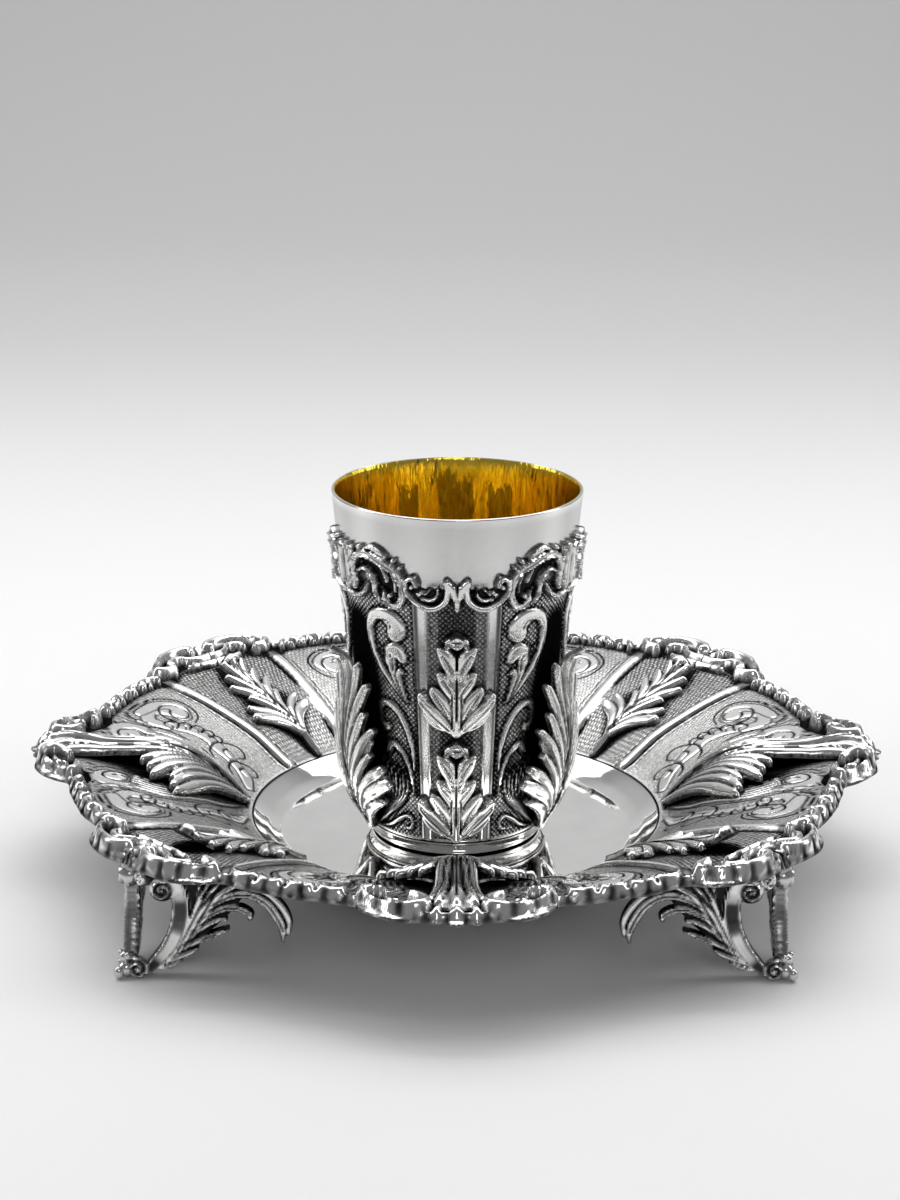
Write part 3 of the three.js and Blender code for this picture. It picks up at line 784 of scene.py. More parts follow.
# small shell scroll by the foot ring
wall_up([(52.0, 4.9, 0.3), (44.0, 6.0, 0.55), (36.0, 8.2, 0.7), (30.4, 9.4, 0.6), (27.4, 8.2, 0.55), (28.4, 6.4, 0.6), (31.6, 6.2, 0.5)], 0.66, p_flat)
wall_cut([(42.0, 5.2, 0.1), (36.0, 6.6, 0.14), (32.0, 7.2, 0.1)], 0.3, 0.8)
wall_cut([(46.0, 4.7, 0.1), (38.0, 5.2, 0.14), (33.0, 5.2, 0.1)], 0.26, 0.7)
# shadow held behind the big leaf
behind = np.clip(1 - ((60 - PX) / np.interp(PY, [4, 10, 18, 30, 42, 54], [7, 15, 19, 20, 16, 11])) ** 2, 0, 1) * np.clip((PY - 4.5) / 3, 0, 1) * np.clip((60 - PY) / 8, 0, 1)
W.ox = np.maximum(W.ox, 0.97 * np.clip(behind * 2.6, 0, 1))
b = blur(W.h, 0.5 / W.px)
W.ox = np.clip(np.maximum(W.ox, (b - W.h) / 0.30), 0, 1)
W.ox *= np.where(PY > 66.8, 0.0, 1.0)
# the plain lip is dimmed a little, more towards the top; just above the border it is darker as painted shade, and faint
# bands round it are painted reflection; clear again at the very rim
W.ox = np.where(PY > 66.8, 0.115 + 0.05 * np.clip((PY - 70) / 10, 0, 1) + 0.12 * np.exp(-(PY - 66.8) / 2.2) + 0.03 * np.sin(PX * 0.21 + 0.8) - 0.14 * np.clip((PY - 82.2) / 0.5, 0, 1), W.ox)
W.mat *= np.where(PY > 66.5, 0.0, 1.0)
W.ox = np.clip(W.ox, 0, 1)


def cup_wall():
    na = 366
    a = np.arange(na) * 360.0 / na
    h = np.concatenate([np.linspace(RING_H + 0.35, 66.5, 152), np.linspace(67.2, CUP_H - 0.35, 9), [CUP_H - 0.12, CUP_H, CUP_H]])
    Am, Hm = np.meshgrid(a, h, indexing="ij")
    X = fold(Am, 3) * K
    r = cupR(Hm) + W.field(W.h, X, Hm)
    r[:, -3] = cupR(CUP_H) - 0.06
    r[:, -2] = cupR(CUP_H) - 0.22
    r[:, -1] = cupR(CUP_H) - 0.45
    # a faint unevenness of hand-raised work
    r = r + 0.035 * np.sin(np.radians(Am) * 7 + Hm * 0.11) * np.clip((Hm - 66) / 4, 0, 1) * np.clip((CUP_H - Hm) / 3, 0, 1)
    r[:, 0] = cupR(h[0]) - 0.25
    hb = np.array([RING_H + 0.4, 10, 30, 50, 66, 75, CUP_H - 1.5, CUP_H - 0.12])
    Ab, Hb = np.meshgrid(a, hb, indexing="ij")
    rb = cupR(Hb) - 0.5
    rb[:, 1:-1] = cupR(Hb[:, 1:-1]) - 0.56
    top = polar(r, Am, CUP_Z + Hm)
    bot = polar(rb, Ab, CUP_Z + Hb)
    at = {"ox": W.field(W.ox, X, Hm), "mat": W.field(W.mat, X, Hm), "hat": W.field(W.hat, X, Hm), "pc": np.stack([Am * K, Hm, 0 * Hm], -1)}
    return hybrid_shell("cup_wall", top, bot, True, at, sharp=60)


finish_piece(cup_wall(), M_CHASED, "cup_body")

def painted_reflection_bands(V):
    """Painted reflection: upright dark bands of uneven height on the lining."""
    az = np.degrees(np.arctan2(V[:, 0], V[:, 1]))
    z = V[:, 2] - CUP_Z
    out = np.zeros(len(V))
    for c, half, lo, hi in ((0, 9.0, 30, CUP_H - 3.5), (-25.0, 6.0, 30, CUP_H - 5.0), (22.5, 7.0, 30, CUP_H - 7.0), (71, 6, 20, 70), (-100, 8, 24, 72), (128, 7, 30, 74), (-152, 9, 26, 70)):
        dd = np.abs((az - c + 180) % 360 - 180)
        out = np.maximum(out, np.clip((half - dd) / 1.6, 0, 1) * np.clip((hi - z) / 1.2, 0, 1) * np.clip((z - lo) / 6, 0, 1))
    return out


floor_z = RING_H + 0.35
prof = [(0, floor_z + 1.2)]
prof += [(cupR(floor_z) - 0.9 - 3.4, floor_z + 1.2)]
for t in np.linspace(0, 1, 8):
    ang = t * math.pi / 2
    prof.append((float(cupR(floor_z + 1)) - 0.9 - 3.2 * (1 - math.sin(ang)), floor_z + 1.2 + 3.4 * (1 - math.cos(ang))))
for h in np.linspace(10, CUP_H - 1.0, 22):
    prof.append((float(cupR(h)) - 0.9, float(h)))
prof += [(float(cupR(CUP_H)) - 0.84, CUP_H - 0.35), (float(cupR(CUP_H)) - 0.7, CUP_H - 0.04), (float(cupR(CUP_H)) - 0.53, CUP_H - 0.03)]
prof += [(float(cupR(h)) - 0.53, float(h)) for h in np.linspace(CUP_H - 1, floor_z + 0.3, 5)]
prof += [(float(cupR(floor_z)) - 1.0, floor_z), (0, floor_z)]
prof = [(r, z + CUP_Z) for r, z in prof]
lining = lathe_mesh("cup_lining", prof, 180, attrs={
    "ox": lambda V: painted_reflection_bands(V), "mat": 0.0, "pc": lambda V: V}, sharp=45)
finish_piece(lining, M_GILT, None)

# foot ring: a plain band with a bead where it meets the dish and another at its top
prof = [(17.2, 0.1), (19.4, 0.05)]
for t in np.linspace(-90, 30, 7):
    prof.append((19.75 + 0.36 * math.cos(math.radians(t)), 0.42 + 0.37 * math.sin(math.radians(t))))
prof += [(20.02, 0.95), (20.14, 1.35), (20.34, 1.85), (20.58, 2.35), (20.75, 2.72)]
for t in np.linspace(-80, 90, 7):
    prof.append((20.75 + 0.34 * math.cos(math.radians(t)), 3.0 + 0.26 * math.sin(math.radians(t))))
prof += [(19.8, 3.3), (17.2, 3.3), (17.2, 0.1)]
ring = lathe_mesh("cup_foot_band", [(r, z * 0.985 + CUP_Z) for r, z in prof], 160, attrs={
    "ox": lambda V: np.clip(1 - np.abs(V[:, 2] - CUP_Z - 2.72) / 0.16, 0, 1) * 0.8 + np.clip((V[:, 2] - CUP_Z - 3.15) / 0.1, 0, 1) * 0.9,
    "mat": 0.0, "pc": lambda V: V}, sharp=40)
finish_piece(ring, M_PLAIN, "cup_foot_ring")


# ---------------------------------------------------------------- acanthus sprays on the narrow panels
def mirrored(rows):
    return [(-r[0], *r[1:]) for r in rows]


def spray_relief():
    R = Relief(-10.2, 10.2, -0.4, 25.6, 0.1, -0.1)

    def both(rows, H, prof=p_hollow, base=0.0):
        R.up(rows, H, prof, base)
        R.up(mirrored(rows), H, prof, base)

    def both_cut(rows, H=0.3, ox=0.7):
        R.cut(rows, H, ox=ox)
        R.cut(mirrored(rows), H, ox=ox)

    def veins(rows, n, spread, depth, w0=0.10, ox=0.75):
        """Fine lines that follow a lobe."""
        L = cr(rows)
        d = np.gradient(L[:, :2], axis=0)
        d /= np.maximum(np.linalg.norm(d, axis=1), 1e-6)[:, None]
        for k in range(n):
            o = (k - (n - 1) / 2) / max(n - 1, 1) * 2 * spread
            q = np.stack([L[:, 0] - d[:, 1] * o * L[:, 2], L[:, 1] + d[:, 0] * o * L[:, 2], np.full(len(L), w0)], -1)
            q = q[2:-3:3]
            R.cut(q, depth, n=3, ox=ox)
            R.cut(np.stack([-q[:, 0], q[:, 1], q[:, 2]], -1), depth, n=3, ox=ox)

    dome = lambda q, t: np.clip(1 - np.abs(q) ** 2.6, 0, 1) ** 0.55
    # small pair at the foot
    low = [(1.0, 0.9, 0.8), (3.0, 1.9, 1.3), (5.4, 3.5, 1.4), (7.3, 5.4, 0.8)]
    both(low, 1.1, dome)
    # broad side leaves with blunt lobes
    inner = [(0.8, 1.8, 1.0), (2.2, 5.0, 1.9), (3.8, 8.0, 2.2), (4.9, 10.0, 1.6), (5.3, 11.1, 0.9)]
    both(inner, 1.5, dome)
    outer = [(0.8, 0.9, 1.0), (2.6, 3.4, 2.0), (5.0, 6.2, 2.5), (6.9, 8.1, 2.1), (7.9, 9.4, 1.2)]
    both(outer, 1.8, dome)
    veins(outer, 2, 0.42, 0.42, 0.19, 0.9)
    veins(inner, 1, 0.0, 0.36, 0.16, 0.9)
    both_cut([(6.6, 10.0, 0.2), (5.6, 8.6, 0.24), (4.6, 7.2, 0.16)], 0.7, 0.95)
    # standing leaf: waist, lower lobes, waist, upper lobes
    R.up([(0, 0.4, 1.3), (0, 4, 1.35), (0, 8, 1.6), (0, 11, 2.7), (0, 13.4, 3.5), (0, 15.2, 2.9), (0, 17.0, 2.9), (0, 19.4, 3.6), (0, 21.4, 3.0), (0, 23.0, 2.3)], 2.0, dome)
    lob1 = [(0.5, 9.2, 1.1), (1.6, 11.6, 1.8), (2.8, 13.4, 1.7), (3.9, 15.0, 0.85)]
    both(lob1, 2.0, dome)
    lob2 = [(0.5, 14.6, 1.2), (1.5, 17.0, 1.8), (2.6, 19.2, 1.8), (3.9, 21.3, 0.85)]
    both(lob2, 2.3, dome)
    veins(lob1, 1, 0.0, 0.40, 0.20, 0.85)
    veins(lob2, 1, 0.0, 0.40, 0.20, 0.85)
    both_cut([(4.2, 16.4, 0.25), (3.4, 15.9, 0.3), (2.7, 15.2, 0.2)], 0.8, 0.98)
    both_cut([(1.0, 2.0, 0.15), (0.9, 6.0, 0.17), (1.1, 10.0, 0.15)], 0.45, 0.9)
    # squared lip with a dark slot beneath it
    R.cut([(-1.3, 21.3, 0.55), (0, 20.6, 0.7), (1.3, 21.3, 0.55)], 1.5, ox=1.0)
    R.cut([(0, 16.6, 0.16), (0, 18.4, 0.3), (0, 20.4, 0.5)], 1.4, ox=1.0)
    R.up([(-1.7, 23.3, 1.15), (-0.8, 23.5, 1.25), (0.8, 23.5, 1.25), (1.7, 23.3, 1.15)], 3.1, p_flat)
    R.cut([(-2.0, 23.1, 0.16), (0, 23.4, 0.18), (2.0, 23.1, 0.16)], 0.5, ox=0.7)
    R.cut([(0, 4.0, 0.15), (0, 9.0, 0.18), (0, 14.4, 0.15)], 0.45, ox=0.9)
    R.h = np.maximum(R.h, -0.1)
    R.oxidise(0.4, 0.5)
    return R


SPR = spray_relief()


def spray_place(base):
    def place(x, y, h):
        hh = base + y
        lift = 0.25 + 0.6 * np.clip(np.abs(x) / 9, 0, 1) ** 2
        r = cupR(hh) + 0.02 + h + lift * (h > -0.35)
        return polar(r, np.degrees(x / (cupR(hh) + 0.9)), CUP_Z + hh)
    return place


for tier, base in (("lower", 4.6), ("upper", 31.4)):
    ob = relief_body(f"spray_{tier}_1", SPR, spray_place(base), step=0.34, back=0.4)
    for k in range(3):
        o = ob if k == 0 else copy_turned(ob, f"spray_{tier}_{k + 1}", 120 * k)
        finish_piece(o, M_LEAF, f"cup_spray_{tier}_{k + 1}")


# ---------------------------------------------------------------- the big leaves of the cup
def along(rows, n=500):
    """rows: (u, v) of a line; returns a function from arc length to point and unit normal."""
    L = cr(np.asarray(rows, float), 30)
    s = np.concatenate([[0], np.cumsum(np.hypot(*np.diff(L, axis=0).T))])
    t = np.gradient(L, s, axis=0)
    t /= np.linalg.norm(t, axis=1)[:, None]

    def at(y):
        p = np.stack([np.interp(y, s, L[:, 0]), np.interp(y, s, L[:, 1])], -1)
        d = np.stack([np.interp(y, s, t[:, 0]), np.interp(y, s, t[:, 1])], -1)
        over = np.maximum(np.asarray(y) - s[-1], 0)[..., None]
        under = np.minimum(np.asarray(y), 0)[..., None]
        return p + d * (over + under), d
    return at, s[-1]


def leaf_fingers(R, fingers, H=1.0, cuts=True):
    for f in fingers:
        rows = [r[:3] for r in f]
        for m in (rows, mirrored(rows)):
            R.up(m, H, p_hollow)
        if cuts:
            for off in (-0.45, 0.45):
                line = []
                pts = np.array(rows, float)
                d = np.gradient(pts[:, :2], axis=0)
                d /= np.linalg.norm(d, axis=1)[:, None]
                for (x, y, w), (dx, dy) in zip(pts, d):
                    line.append((x - dy * off * w, y + dx * off * w, max(0.09, 0.13 * w)))
                R.cut(line, 0.24, ox=0.45)
                R.cut(mirrored(line), 0.24, ox=0.45)


def strands(R, rows, H=1.0, groove=0.30, ox=0.9):
    """Long rounded ridges that lie side by side, with a dark furrow along one flank of each."""
    for f in rows:
        for m in (f, mirrored(f)):
            R.up(m, H, lambda q, t: np.clip(1 - np.abs(q) ** 2.3, 0, 1) ** 0.5)
    for f in rows:
        L = cr(f)
        d_ = np.gradient(L[:, :2], axis=0)
        d_ /= np.maximum(np.linalg.norm(d_, axis=1), 1e-6)[:, None]
        q = np.stack([L[:, 0] - d_[:, 1] * L[:, 2] * 0.95, L[:, 1] + d_[:, 0] * L[:, 2] * 0.95, np.full(len(L), 0.24)], -1)[1:-4:4]
        R.cut(q, groove, ox=ox)
        R.cut(mirrored(q), groove, ox=ox)


def big_leaf_relief():
    R = Relief(-15.5, 15.5, -0.6, 57, 0.12, -0.05)
    R.up([(0, 0.6, 1.4), (0, 8, 3.2), (0, 16, 5.0), (0, 26, 6.0), (0, 34, 5.0), (0, 44, 3.4), (0, 50, 2.4)], 0.35, p_soft)
    for m in ([(1.2, 4.0, 1.0), (4.6, 10.4, 2.2), (8.4, 16.4, 2.6), (10.4, 18.8, 2.2)], [(1.0, 12.0, 1.2), (4.4, 22.4, 2.2), (6.8, 29.0, 1.8)]):
        R.up(m, 0.3, p_soft)
        R.up(mirrored(m), 0.3, p_soft)
    strands(R, [
        [(0.8, 1.0, 0.6), (2.4, 4.8, 1.05), (5.0, 8.6, 1.4), (7.8, 11.0, 1.4), (9.6, 11.8, 0.9)],
        [(0.8, 1.4, 0.5), (2.6, 6.8, 1.0), (5.4, 12.2, 1.5), (9.0, 16.0, 2.0), (11.8, 17.8, 1.7), (12.8, 18.2, 1.0)],
        [(0.7, 2.0, 0.5), (2.2, 8.8, 0.95), (4.6, 14.8, 1.35), (8.0, 19.4, 1.7), (10.8, 21.8, 1.3)],
        [(0.6, 3.0, 0.45), (1.9, 11.4, 0.85), (3.8, 18.6, 1.1), (6.2, 23.0, 1.15), (7.8, 25.2, 0.8)],
        [(0.6, 5.0, 0.45), (1.8, 14.4, 0.85), (3.4, 22.0, 1.15), (5.8, 28.0, 1.35), (8.2, 31.8, 1.1), (9.0, 32.6, 0.7)],
        [(0.5, 8.0, 0.45), (1.6, 18.0, 0.8), (2.9, 26.0, 1.05), (4.6, 32.4, 1.1), (6.0, 36.4, 0.8)],
        [(0.5, 12.0, 0.45), (1.5, 23.0, 0.8), (2.5, 31.0, 1.05), (4.0, 38.0, 1.25), (6.0, 43.4, 1.05), (6.6, 44.4, 0.7)],
        [(0.4, 18.0, 0.45), (1.3, 30.0, 0.8), (2.1, 38.0, 1.0), (3.3, 45.0, 1.1), (4.6, 49.6, 0.8)],
    ], 1.1, 0.36, 0.95)
    R.up([(0, 0.3, 1.0), (0, 18, 0.85), (0, 34, 1.1), (0, 46, 1.8), (0, 52.5, 1.9), (0, 55.0, 1.3)], 1.4, p_soft)
    R.cut([(0, 14, 0.14), (0, 34, 0.22), (0, 48, 0.3), (0, 53, 0.22)], 0.6, ox=0.95)
    R.h = np.maximum(R.h, -0.05)
    R.oxidise(0.5, 0.34)
    return R


BLR = big_leaf_relief()
line_c, len_c = along([(22.3, 4.0), (23.6, 6.6), (25.8, 10.2), (27.6, 14.5), (28.8, 20.0), (29.4, 26.5), (29.2, 32.6), (28.8, 38.8), (29.0, 43.6), (30.4, 47.4), (33.0, 49.4)])


def cup_leaf_place(x, y, h):
    p, d = line_c(y * len_c / 55.6)
    ax = np.abs(x)
    # the edges turn back toward the wall and their lips roll out again
    sag = 1.9 * np.clip(ax / 12, 0, 1) ** 2.2 - 1.0 * np.clip((ax - 9.0) / 4, 0, 1)
    nr, nz = d[..., 1], -d[..., 0]
    r = p[..., 0] + nr * (h - sag)
    z = p[..., 1] + nz * (h - sag * 0.4)
    r = np.maximum(r, cupR(z) + 0.3)
    ang = 60 + np.degrees(x / np.maximum(p[..., 0] - 0.6, 5))
    return polar(r, ang, CUP_Z + z)


ob = relief_body("cup_big_leaf_1", BLR, cup_leaf_place, step=0.40, back=0.75)
for k in range(3):
    o = ob if k == 0 else copy_turned(ob, f"cup_big_leaf_{k + 1}", 120 * k)
    finish_piece(o, M_LEAF, f"cup_leaf_{k + 1}")


# ---------------------------------------------------------------- the scroll border of the cup
KB = 0.505


def cup_border_relief():
    R = Relief(-2.0, 62 * KB + 2, 59, 77, 0.1, -0.2)

    def up(rows, H, prof=p_round):
        rows = [(r[0] * KB, *r[1:]) for r in rows]
        R.up(rows, H, prof)

    def cut(rows, H, ox=0.8):
        R.cut([(r[0] * KB, *r[1:]) for r in rows], H, ox=ox)

    # dark ground inside the frames
    up([(28.5, 65.6, 2.0), (33, 67.6, 2.6), (40, 69.8, 2.2), (47, 70.6, 1.6)], 0.18, p_flat)
    up([(8.5, 65.2, 1.4), (14, 65.0, 1.6), (19, 65.8, 1.4)], 0.18, p_flat)
    # flame pair and drop on the centre line
    up([(0, 62.0, 0.7), (0, 63.6, 0.95), (0, 65.0, 0.7)], 1.6)
    up([(1.2, 64.6, 0.6), (2.4, 66.4, 0.85), (3.2, 68.0, 0.85), (4.8, 69.0, 0.5)], 2.1)
    up([(0.3, 64.6, 0.5), (0.9, 66.2, 0.6), (0.9, 67.6, 0.35)], 1.8)
    # boat-shaped scroll with a comb of strands
    up([(5.8, 68.8, 0.5), (4.4, 66.6, 0.85), (5.2, 64.2, 1.0), (8.4, 62.7, 0.95), (12.6, 62.2, 0.85), (17.2, 62.9, 0.75), (21.2, 64.4, 0.7), (23.6, 66.5, 0.7), (22.8, 68.6, 0.75),
        (20.0, 68.9, 0.72), (18.2, 67.4, 0.6)], 2.3)
    R.ball(20.4 * KB, 67.2, 0.8, 2.5)
    up([(8.6, 66.9, 0.35), (9.4, 65.2, 0.55), (12.0, 64.2, 0.6), (16.6, 64.5, 0.45)], 1.7)
    up([(12.6, 66.6, 0.3), (14.6, 65.7, 0.45), (17.4, 66.1, 0.35)], 1.5)
    # frame round the dark hollow
    up([(35.4, 65.4, 0.4), (34.2, 63.2, 0.75), (31.2, 62.1, 0.9), (27.8, 62.3, 0.95), (25.4, 64.0, 0.95), (25.0, 66.6, 0.95), (26.6, 69.0, 1.0), (30.2, 70.8, 1.0), (35.2, 71.9, 1.05),
        (41.2, 73.0, 1.0), (47.2, 73.0, 0.9), (51.6, 71.6, 0.85), (53.4, 69.2, 0.8), (52.4, 67.0, 0.65)], 2.5, p_trough)
    up([(37.0, 62.6, 0.45), (39.8, 64.4, 0.55), (40.4, 66.6, 0.6), (42.2, 68.6, 0.62), (46.0, 69.6, 0.62), (49.8, 68.8, 0.6)], 2.1)
    up([(31.0, 69.4, 0.3), (29.2, 67.4, 0.45), (29.2, 65.4, 0.4)], 1.5)
    up([(36.0, 70.6, 0.4), (34.2, 68.8, 0.5), (33.4, 67.4, 0.3)], 1.6)
    R.ball(32.2 * KB, 64.2, 0.8, 1.9)
    # leaf tip and pebbles along its top
    up([(34.0, 73.2, 0.5), (38.0, 74.3, 0.75), (42.4, 74.9, 0.7), (46.0, 74.3, 0.35)], 2.0, p_hollow)
    for a, z, r in ((26.4, 71.2, 0.65), (29.8, 72.6, 0.7), (49.6, 74.2, 0.75)):
        R.ball(a * KB, z, r, 1.8)
    # crest over the big leaf
    up([(60, 63.8, 0.8), (60, 67.5, 1.1), (60, 71, 1.2), (60, 73.8, 0.7)], 2.4, p_hollow)
    up([(57.2, 64.6, 0.6), (56.2, 67.6, 0.85), (57.0, 70.8, 0.9), (57.4, 73.2, 0.45)], 2.2)
    up([(54.0, 64.2, 0.5), (53.0, 66.8, 0.7), (54.2, 69.4, 0.7), (55.2, 72.2, 0.6), (54.2, 74.0, 0.35)], 2.0)
    up([(44.0, 66.4, 0.35), (47.6, 63.8, 0.65), (53.0, 62.4, 0.75), (58.0, 62.6, 0.6), (60, 63.2, 0.5)], 1.9)
    # dark seams between the leaves of the crest
    cut([(58.7, 65.0, 0.26), (58.5, 69.0, 0.30), (58.7, 72.4, 0.22)], 1.0, 0.98)
    cut([(55.1, 65.2, 0.26), (54.9, 68.6, 0.30), (56.0, 72.2, 0.22)], 1.0, 0.98)
    cut([(51.7, 64.0, 0.24), (50.9, 66.6, 0.28), (52.3, 69.8, 0.22)], 0.9, 0.95)
    # mirror the strokes that cross the sector's two edges
    R.h = np.maximum(R.h, -0.2)
    for f in (R.h, R.d):
        i0 = int(round((0 - R.x0) / R.px))
        for i in range(i0):
            f[i] = f[2 * i0 - i]
        i1 = int(round((60 * KB - R.x0) / R.px))
        for i in range(i1 + 1, f.shape[0]):
            f[i] = f[min(2 * i1 - i, f.shape[0] - 1)]
    R.oxidise(0.6, 0.62)
    R.ox = np.clip(R.ox + 0.85 * np.clip((0.45 - R.h) / 0.25, 0, 1), 0, 1)
    return R


CBR = cup_border_relief()


class Unrolled:
    """A mirrored sector of relief repeated all the way round."""

    def __init__(s, R, folds, k, step):
        s.R, s.k, s.folds = R, k, folds


def ring_relief(name, R, folds, k, place, step, back, sharp=50):
    """The relief for one mirrored pair of sectors, resampled at an even step from the one sector."""
    half = 180.0 / folds
    n = int(round(half * k / step))
    full = Relief.__new__(Relief)
    full.px = half * k / n
    full.x0, full.y0 = -half * k, R.y0
    full.x = full.x0 + full.px * np.arange(2 * n + 1)
    full.y = R.y[0] + full.px * np.arange(int((R.y[-1] - R.y[0]) / full.px) + 1)
    X, Y = np.meshgrid(np.abs(full.x), full.y, indexing="ij")
    for f in ("h", "d", "mat", "ox"):
        setattr(full, f, R.field(getattr(R, f), X, Y))
    return full


def border_sector(name, R, folds, k, place, step, back, sharp=50):
    full = ring_relief(name, R, folds, k, place, step, back)
    return relief_body(name, full, place, step=step, back=back, sharp=sharp)


def cup_border_place(x, y, h):
    return polar(cupR(y) + 0.05 + np.maximum(h, -0.3) + 0.0 * y, x / KB, CUP_Z + y)


ob = border_sector("cup_border_1", CBR, 3, KB, cup_border_place, 0.31, 0.25)
for k in range(3):
    o = ob if k == 0 else copy_turned(ob, f"cup_border_{k + 1}", 120 * k)
    finish_piece(o, M_CAST, "cup_border")

# ---------------------------------------------------------------- the dish: well and wall
prof = [(0, SEAT_Z), (10, SEAT_Z), (20, SEAT_Z), (30, SEAT_Z), (38, SEAT_Z), (41.2, SEAT_Z)]
for t in np.linspace(0, 1, 7):
    a = t * math.radians(33.5)
    prof.append((41.4 + 1.3 * math.sin(a), SEAT_Z + 1.3 * (1 - math.cos(a))))
prof += [(43.8, 7.62), (45.2, 8.54), (46.6, 9.46), (47.9, 10.34), (48.2, 10.58), (48.45, 10.78), (48.7, 10.85), (48.7, 10.0)]
prof += [(47.6, 9.0), (45.4, 7.4), (43.2, 5.9), (41.6, SEAT_Z - SHEET), (30, SEAT_Z - SHEET), (15, SEAT_Z - SHEET), (0, SEAT_Z - SHEET)]
well = lathe_mesh("dish_well", prof, 200, attrs={
    "ox": lambda V: np.clip((np.hypot(V[:, 0], V[:, 1]) - 48.2) / 0.25, 0, 1) * 0.8 + 0.25 * (V[:, 2] < SEAT_Z - 0.5),
    "mat": 0.0, "pc": lambda V: V}, sharp=30)
finish_piece(well, M_MIRROR, "dish")

# ---------------------------------------------------------------- the dish: chased flare
KD = 1.31          # mm for each degree at a radius of 75 mm


def D(rows):
    return [(r[0] * KD, *r[1:]) for r in rows]


F = Relief(0, 45 * KD, 48.0, 106, 0.16)
FA, FR = F.x[:, None] / KD, F.y[None, :]
true = FR / 75.0 + 0 * FA                                   # how much a degree shrinks towards the middle
RIB = 33.6
half_rib = 1.55 / true / KD
inside = (FR > 49.2) & (FR < 90)
panel_n = (FA > RIB + half_rib) & inside
panel_w = (FA < RIB - half_rib) & inside
F.mat = np.where(panel_n, 0.62, np.where(panel_w, 0.55, 0.0)) + 0 * F.h
F.ox = np.where(panel_n, 0.10, np.where(panel_w, 0.08, 0.0)) + 0 * F.h
F.hat = np.where(panel_n, 1.0, 0.5) + 0 * F.h


def d_up(rows, H, prof=p_flat, base=0.0, clear=True, edge_ox=0.75):
    L = cr(D(rows))
    got = F.near(L[:, :2], L[:, 2])
    if got is None:
        return
    sl, dist, wl, side, t = got
    q = side * dist / wl
    val = np.where(np.abs(q) < 1, base + H * prof(np.clip(q, -1, 1), t), -9)
    F.h[sl] = np.maximum(F.h[sl], val)
    if clear:
        k = np.clip((wl - dist) / 0.25, 0, 1)
        F.mat[sl] *= 1 - k
        F.ox[sl] *= 1 - k
    if edge_ox:
        F.ox[sl] = np.maximum(F.ox[sl], edge_ox * np.exp(-((dist - wl) / 0.2) ** 2))


def d_cut(rows, depth=0.34, ox=0.85):
    F.cut(D([(r[0], r[1], r[2] * 1.6) for r in rows]), depth * 1.15, ox=min(1.0, ox * 1.1))


# scroll forms stand a little proud of the ground
d_up([(25.0, 77.2, 3.0), (24.4, 79.5, 2.8), (21.2, 82.0, 2.0), (18.0, 79.6, 1.9), (18.4, 75.4, 1.9)], 0.34)
d_up([(24.8, 75.6, 2.6), (26.6, 79.0, 2.4), (24.0, 82.6, 2.2), (19.6, 83.4, 1.6)], 0.34)
d_up([(10.4, 80.2, 3.0), (9.4, 82.8, 2.2), (11.6, 84.6, 2.0), (13.8, 81.6, 1.8), (13.6, 77.4, 1.6)], 0.34)
d_up([(19.4, 74.6, 2.0), (20.8, 71.4, 2.1), (21.4, 67.8, 2.2), (20.8, 64.6, 2.0), (19.2, 61.4, 2.4), (17.6, 57.2, 2.0), (15.6, 53.8, 2.0), (10.4, 51.0, 1.0)], 0.30)
# plume of long strands from the foot of the big leaf
for k in range(6):
    u = k / 5
    d_up([(1.2 + 1.2 * u, 50.6, 0.35), (5.4 + 3.4 * u, 56.4 - 0.8 * u, 0.7), (8.2 + 5.2 * u, 63.5, 0.85), (9.4 + 6.0 * u, 70.2, 0.75), (8.6 + 5.4 * u, 76.2 + 1.5 * u, 0.3)],
         0.42, p_round, 0.0, True, 0.55)
d_up([(15.4, 78.6, 0.4), (14.8, 82.6, 0.6), (15.6, 86.4, 0.35)], 0.3, p_round)
d_up([(16.4, 79.6, 0.3), (16.6, 83.6, 0.5), (18.2, 86.6, 0.25)], 0.3, p_round)
# engraved lines: the two spirals
for cx, cy, rr, turns, a0, asp in ((24.6, 77.0, 4.2, 1.35, 200, 1.25), (10.4, 80.2, 3.4, 1.25, 210, 1.25)):
    t = np.linspace(0, 1, 30)
    ang = np.radians(a0) - 2 * np.pi * turns * t
    rad = rr * (1 - 0.72 * t)
    d_cut([(cx + rad_ * math.cos(a_) / KD, cy + asp * rad_ * math.sin(a_), 0.21 - 0.08 * t_) for rad_, a_, t_ in zip(rad, ang, t)], 0.36, 0.9)
d_cut([(14.2, 86.0, 0.18), (12.0, 87.2, 0.2), (8.4, 86.6, 0.2), (6.4, 83.6, 0.2), (6.6, 79.6, 0.2), (8.0, 75.8, 0.18), (9.4, 74.0, 0.14)], 0.34)
d_cut([(16.4, 82.4, 0.18), (17.8, 85.6, 0.2), (22.0, 86.4, 0.22), (26.6, 84.8, 0.22), (29.0, 80.6, 0.22), (28.8, 76.0, 0.2), (27.2, 72.8, 0.18), (24.6, 71.6, 0.15)], 0.36)
# the long line that bounds the plume
d_cut([(15.0, 80.4, 0.16), (16.8, 75.0, 0.2), (16.9, 69.4, 0.2), (15.4, 63.6, 0.2), (12.0, 58.0, 0.18), (7.4, 53.8, 0.18), (2.6, 50.8, 0.16)], 0.34)
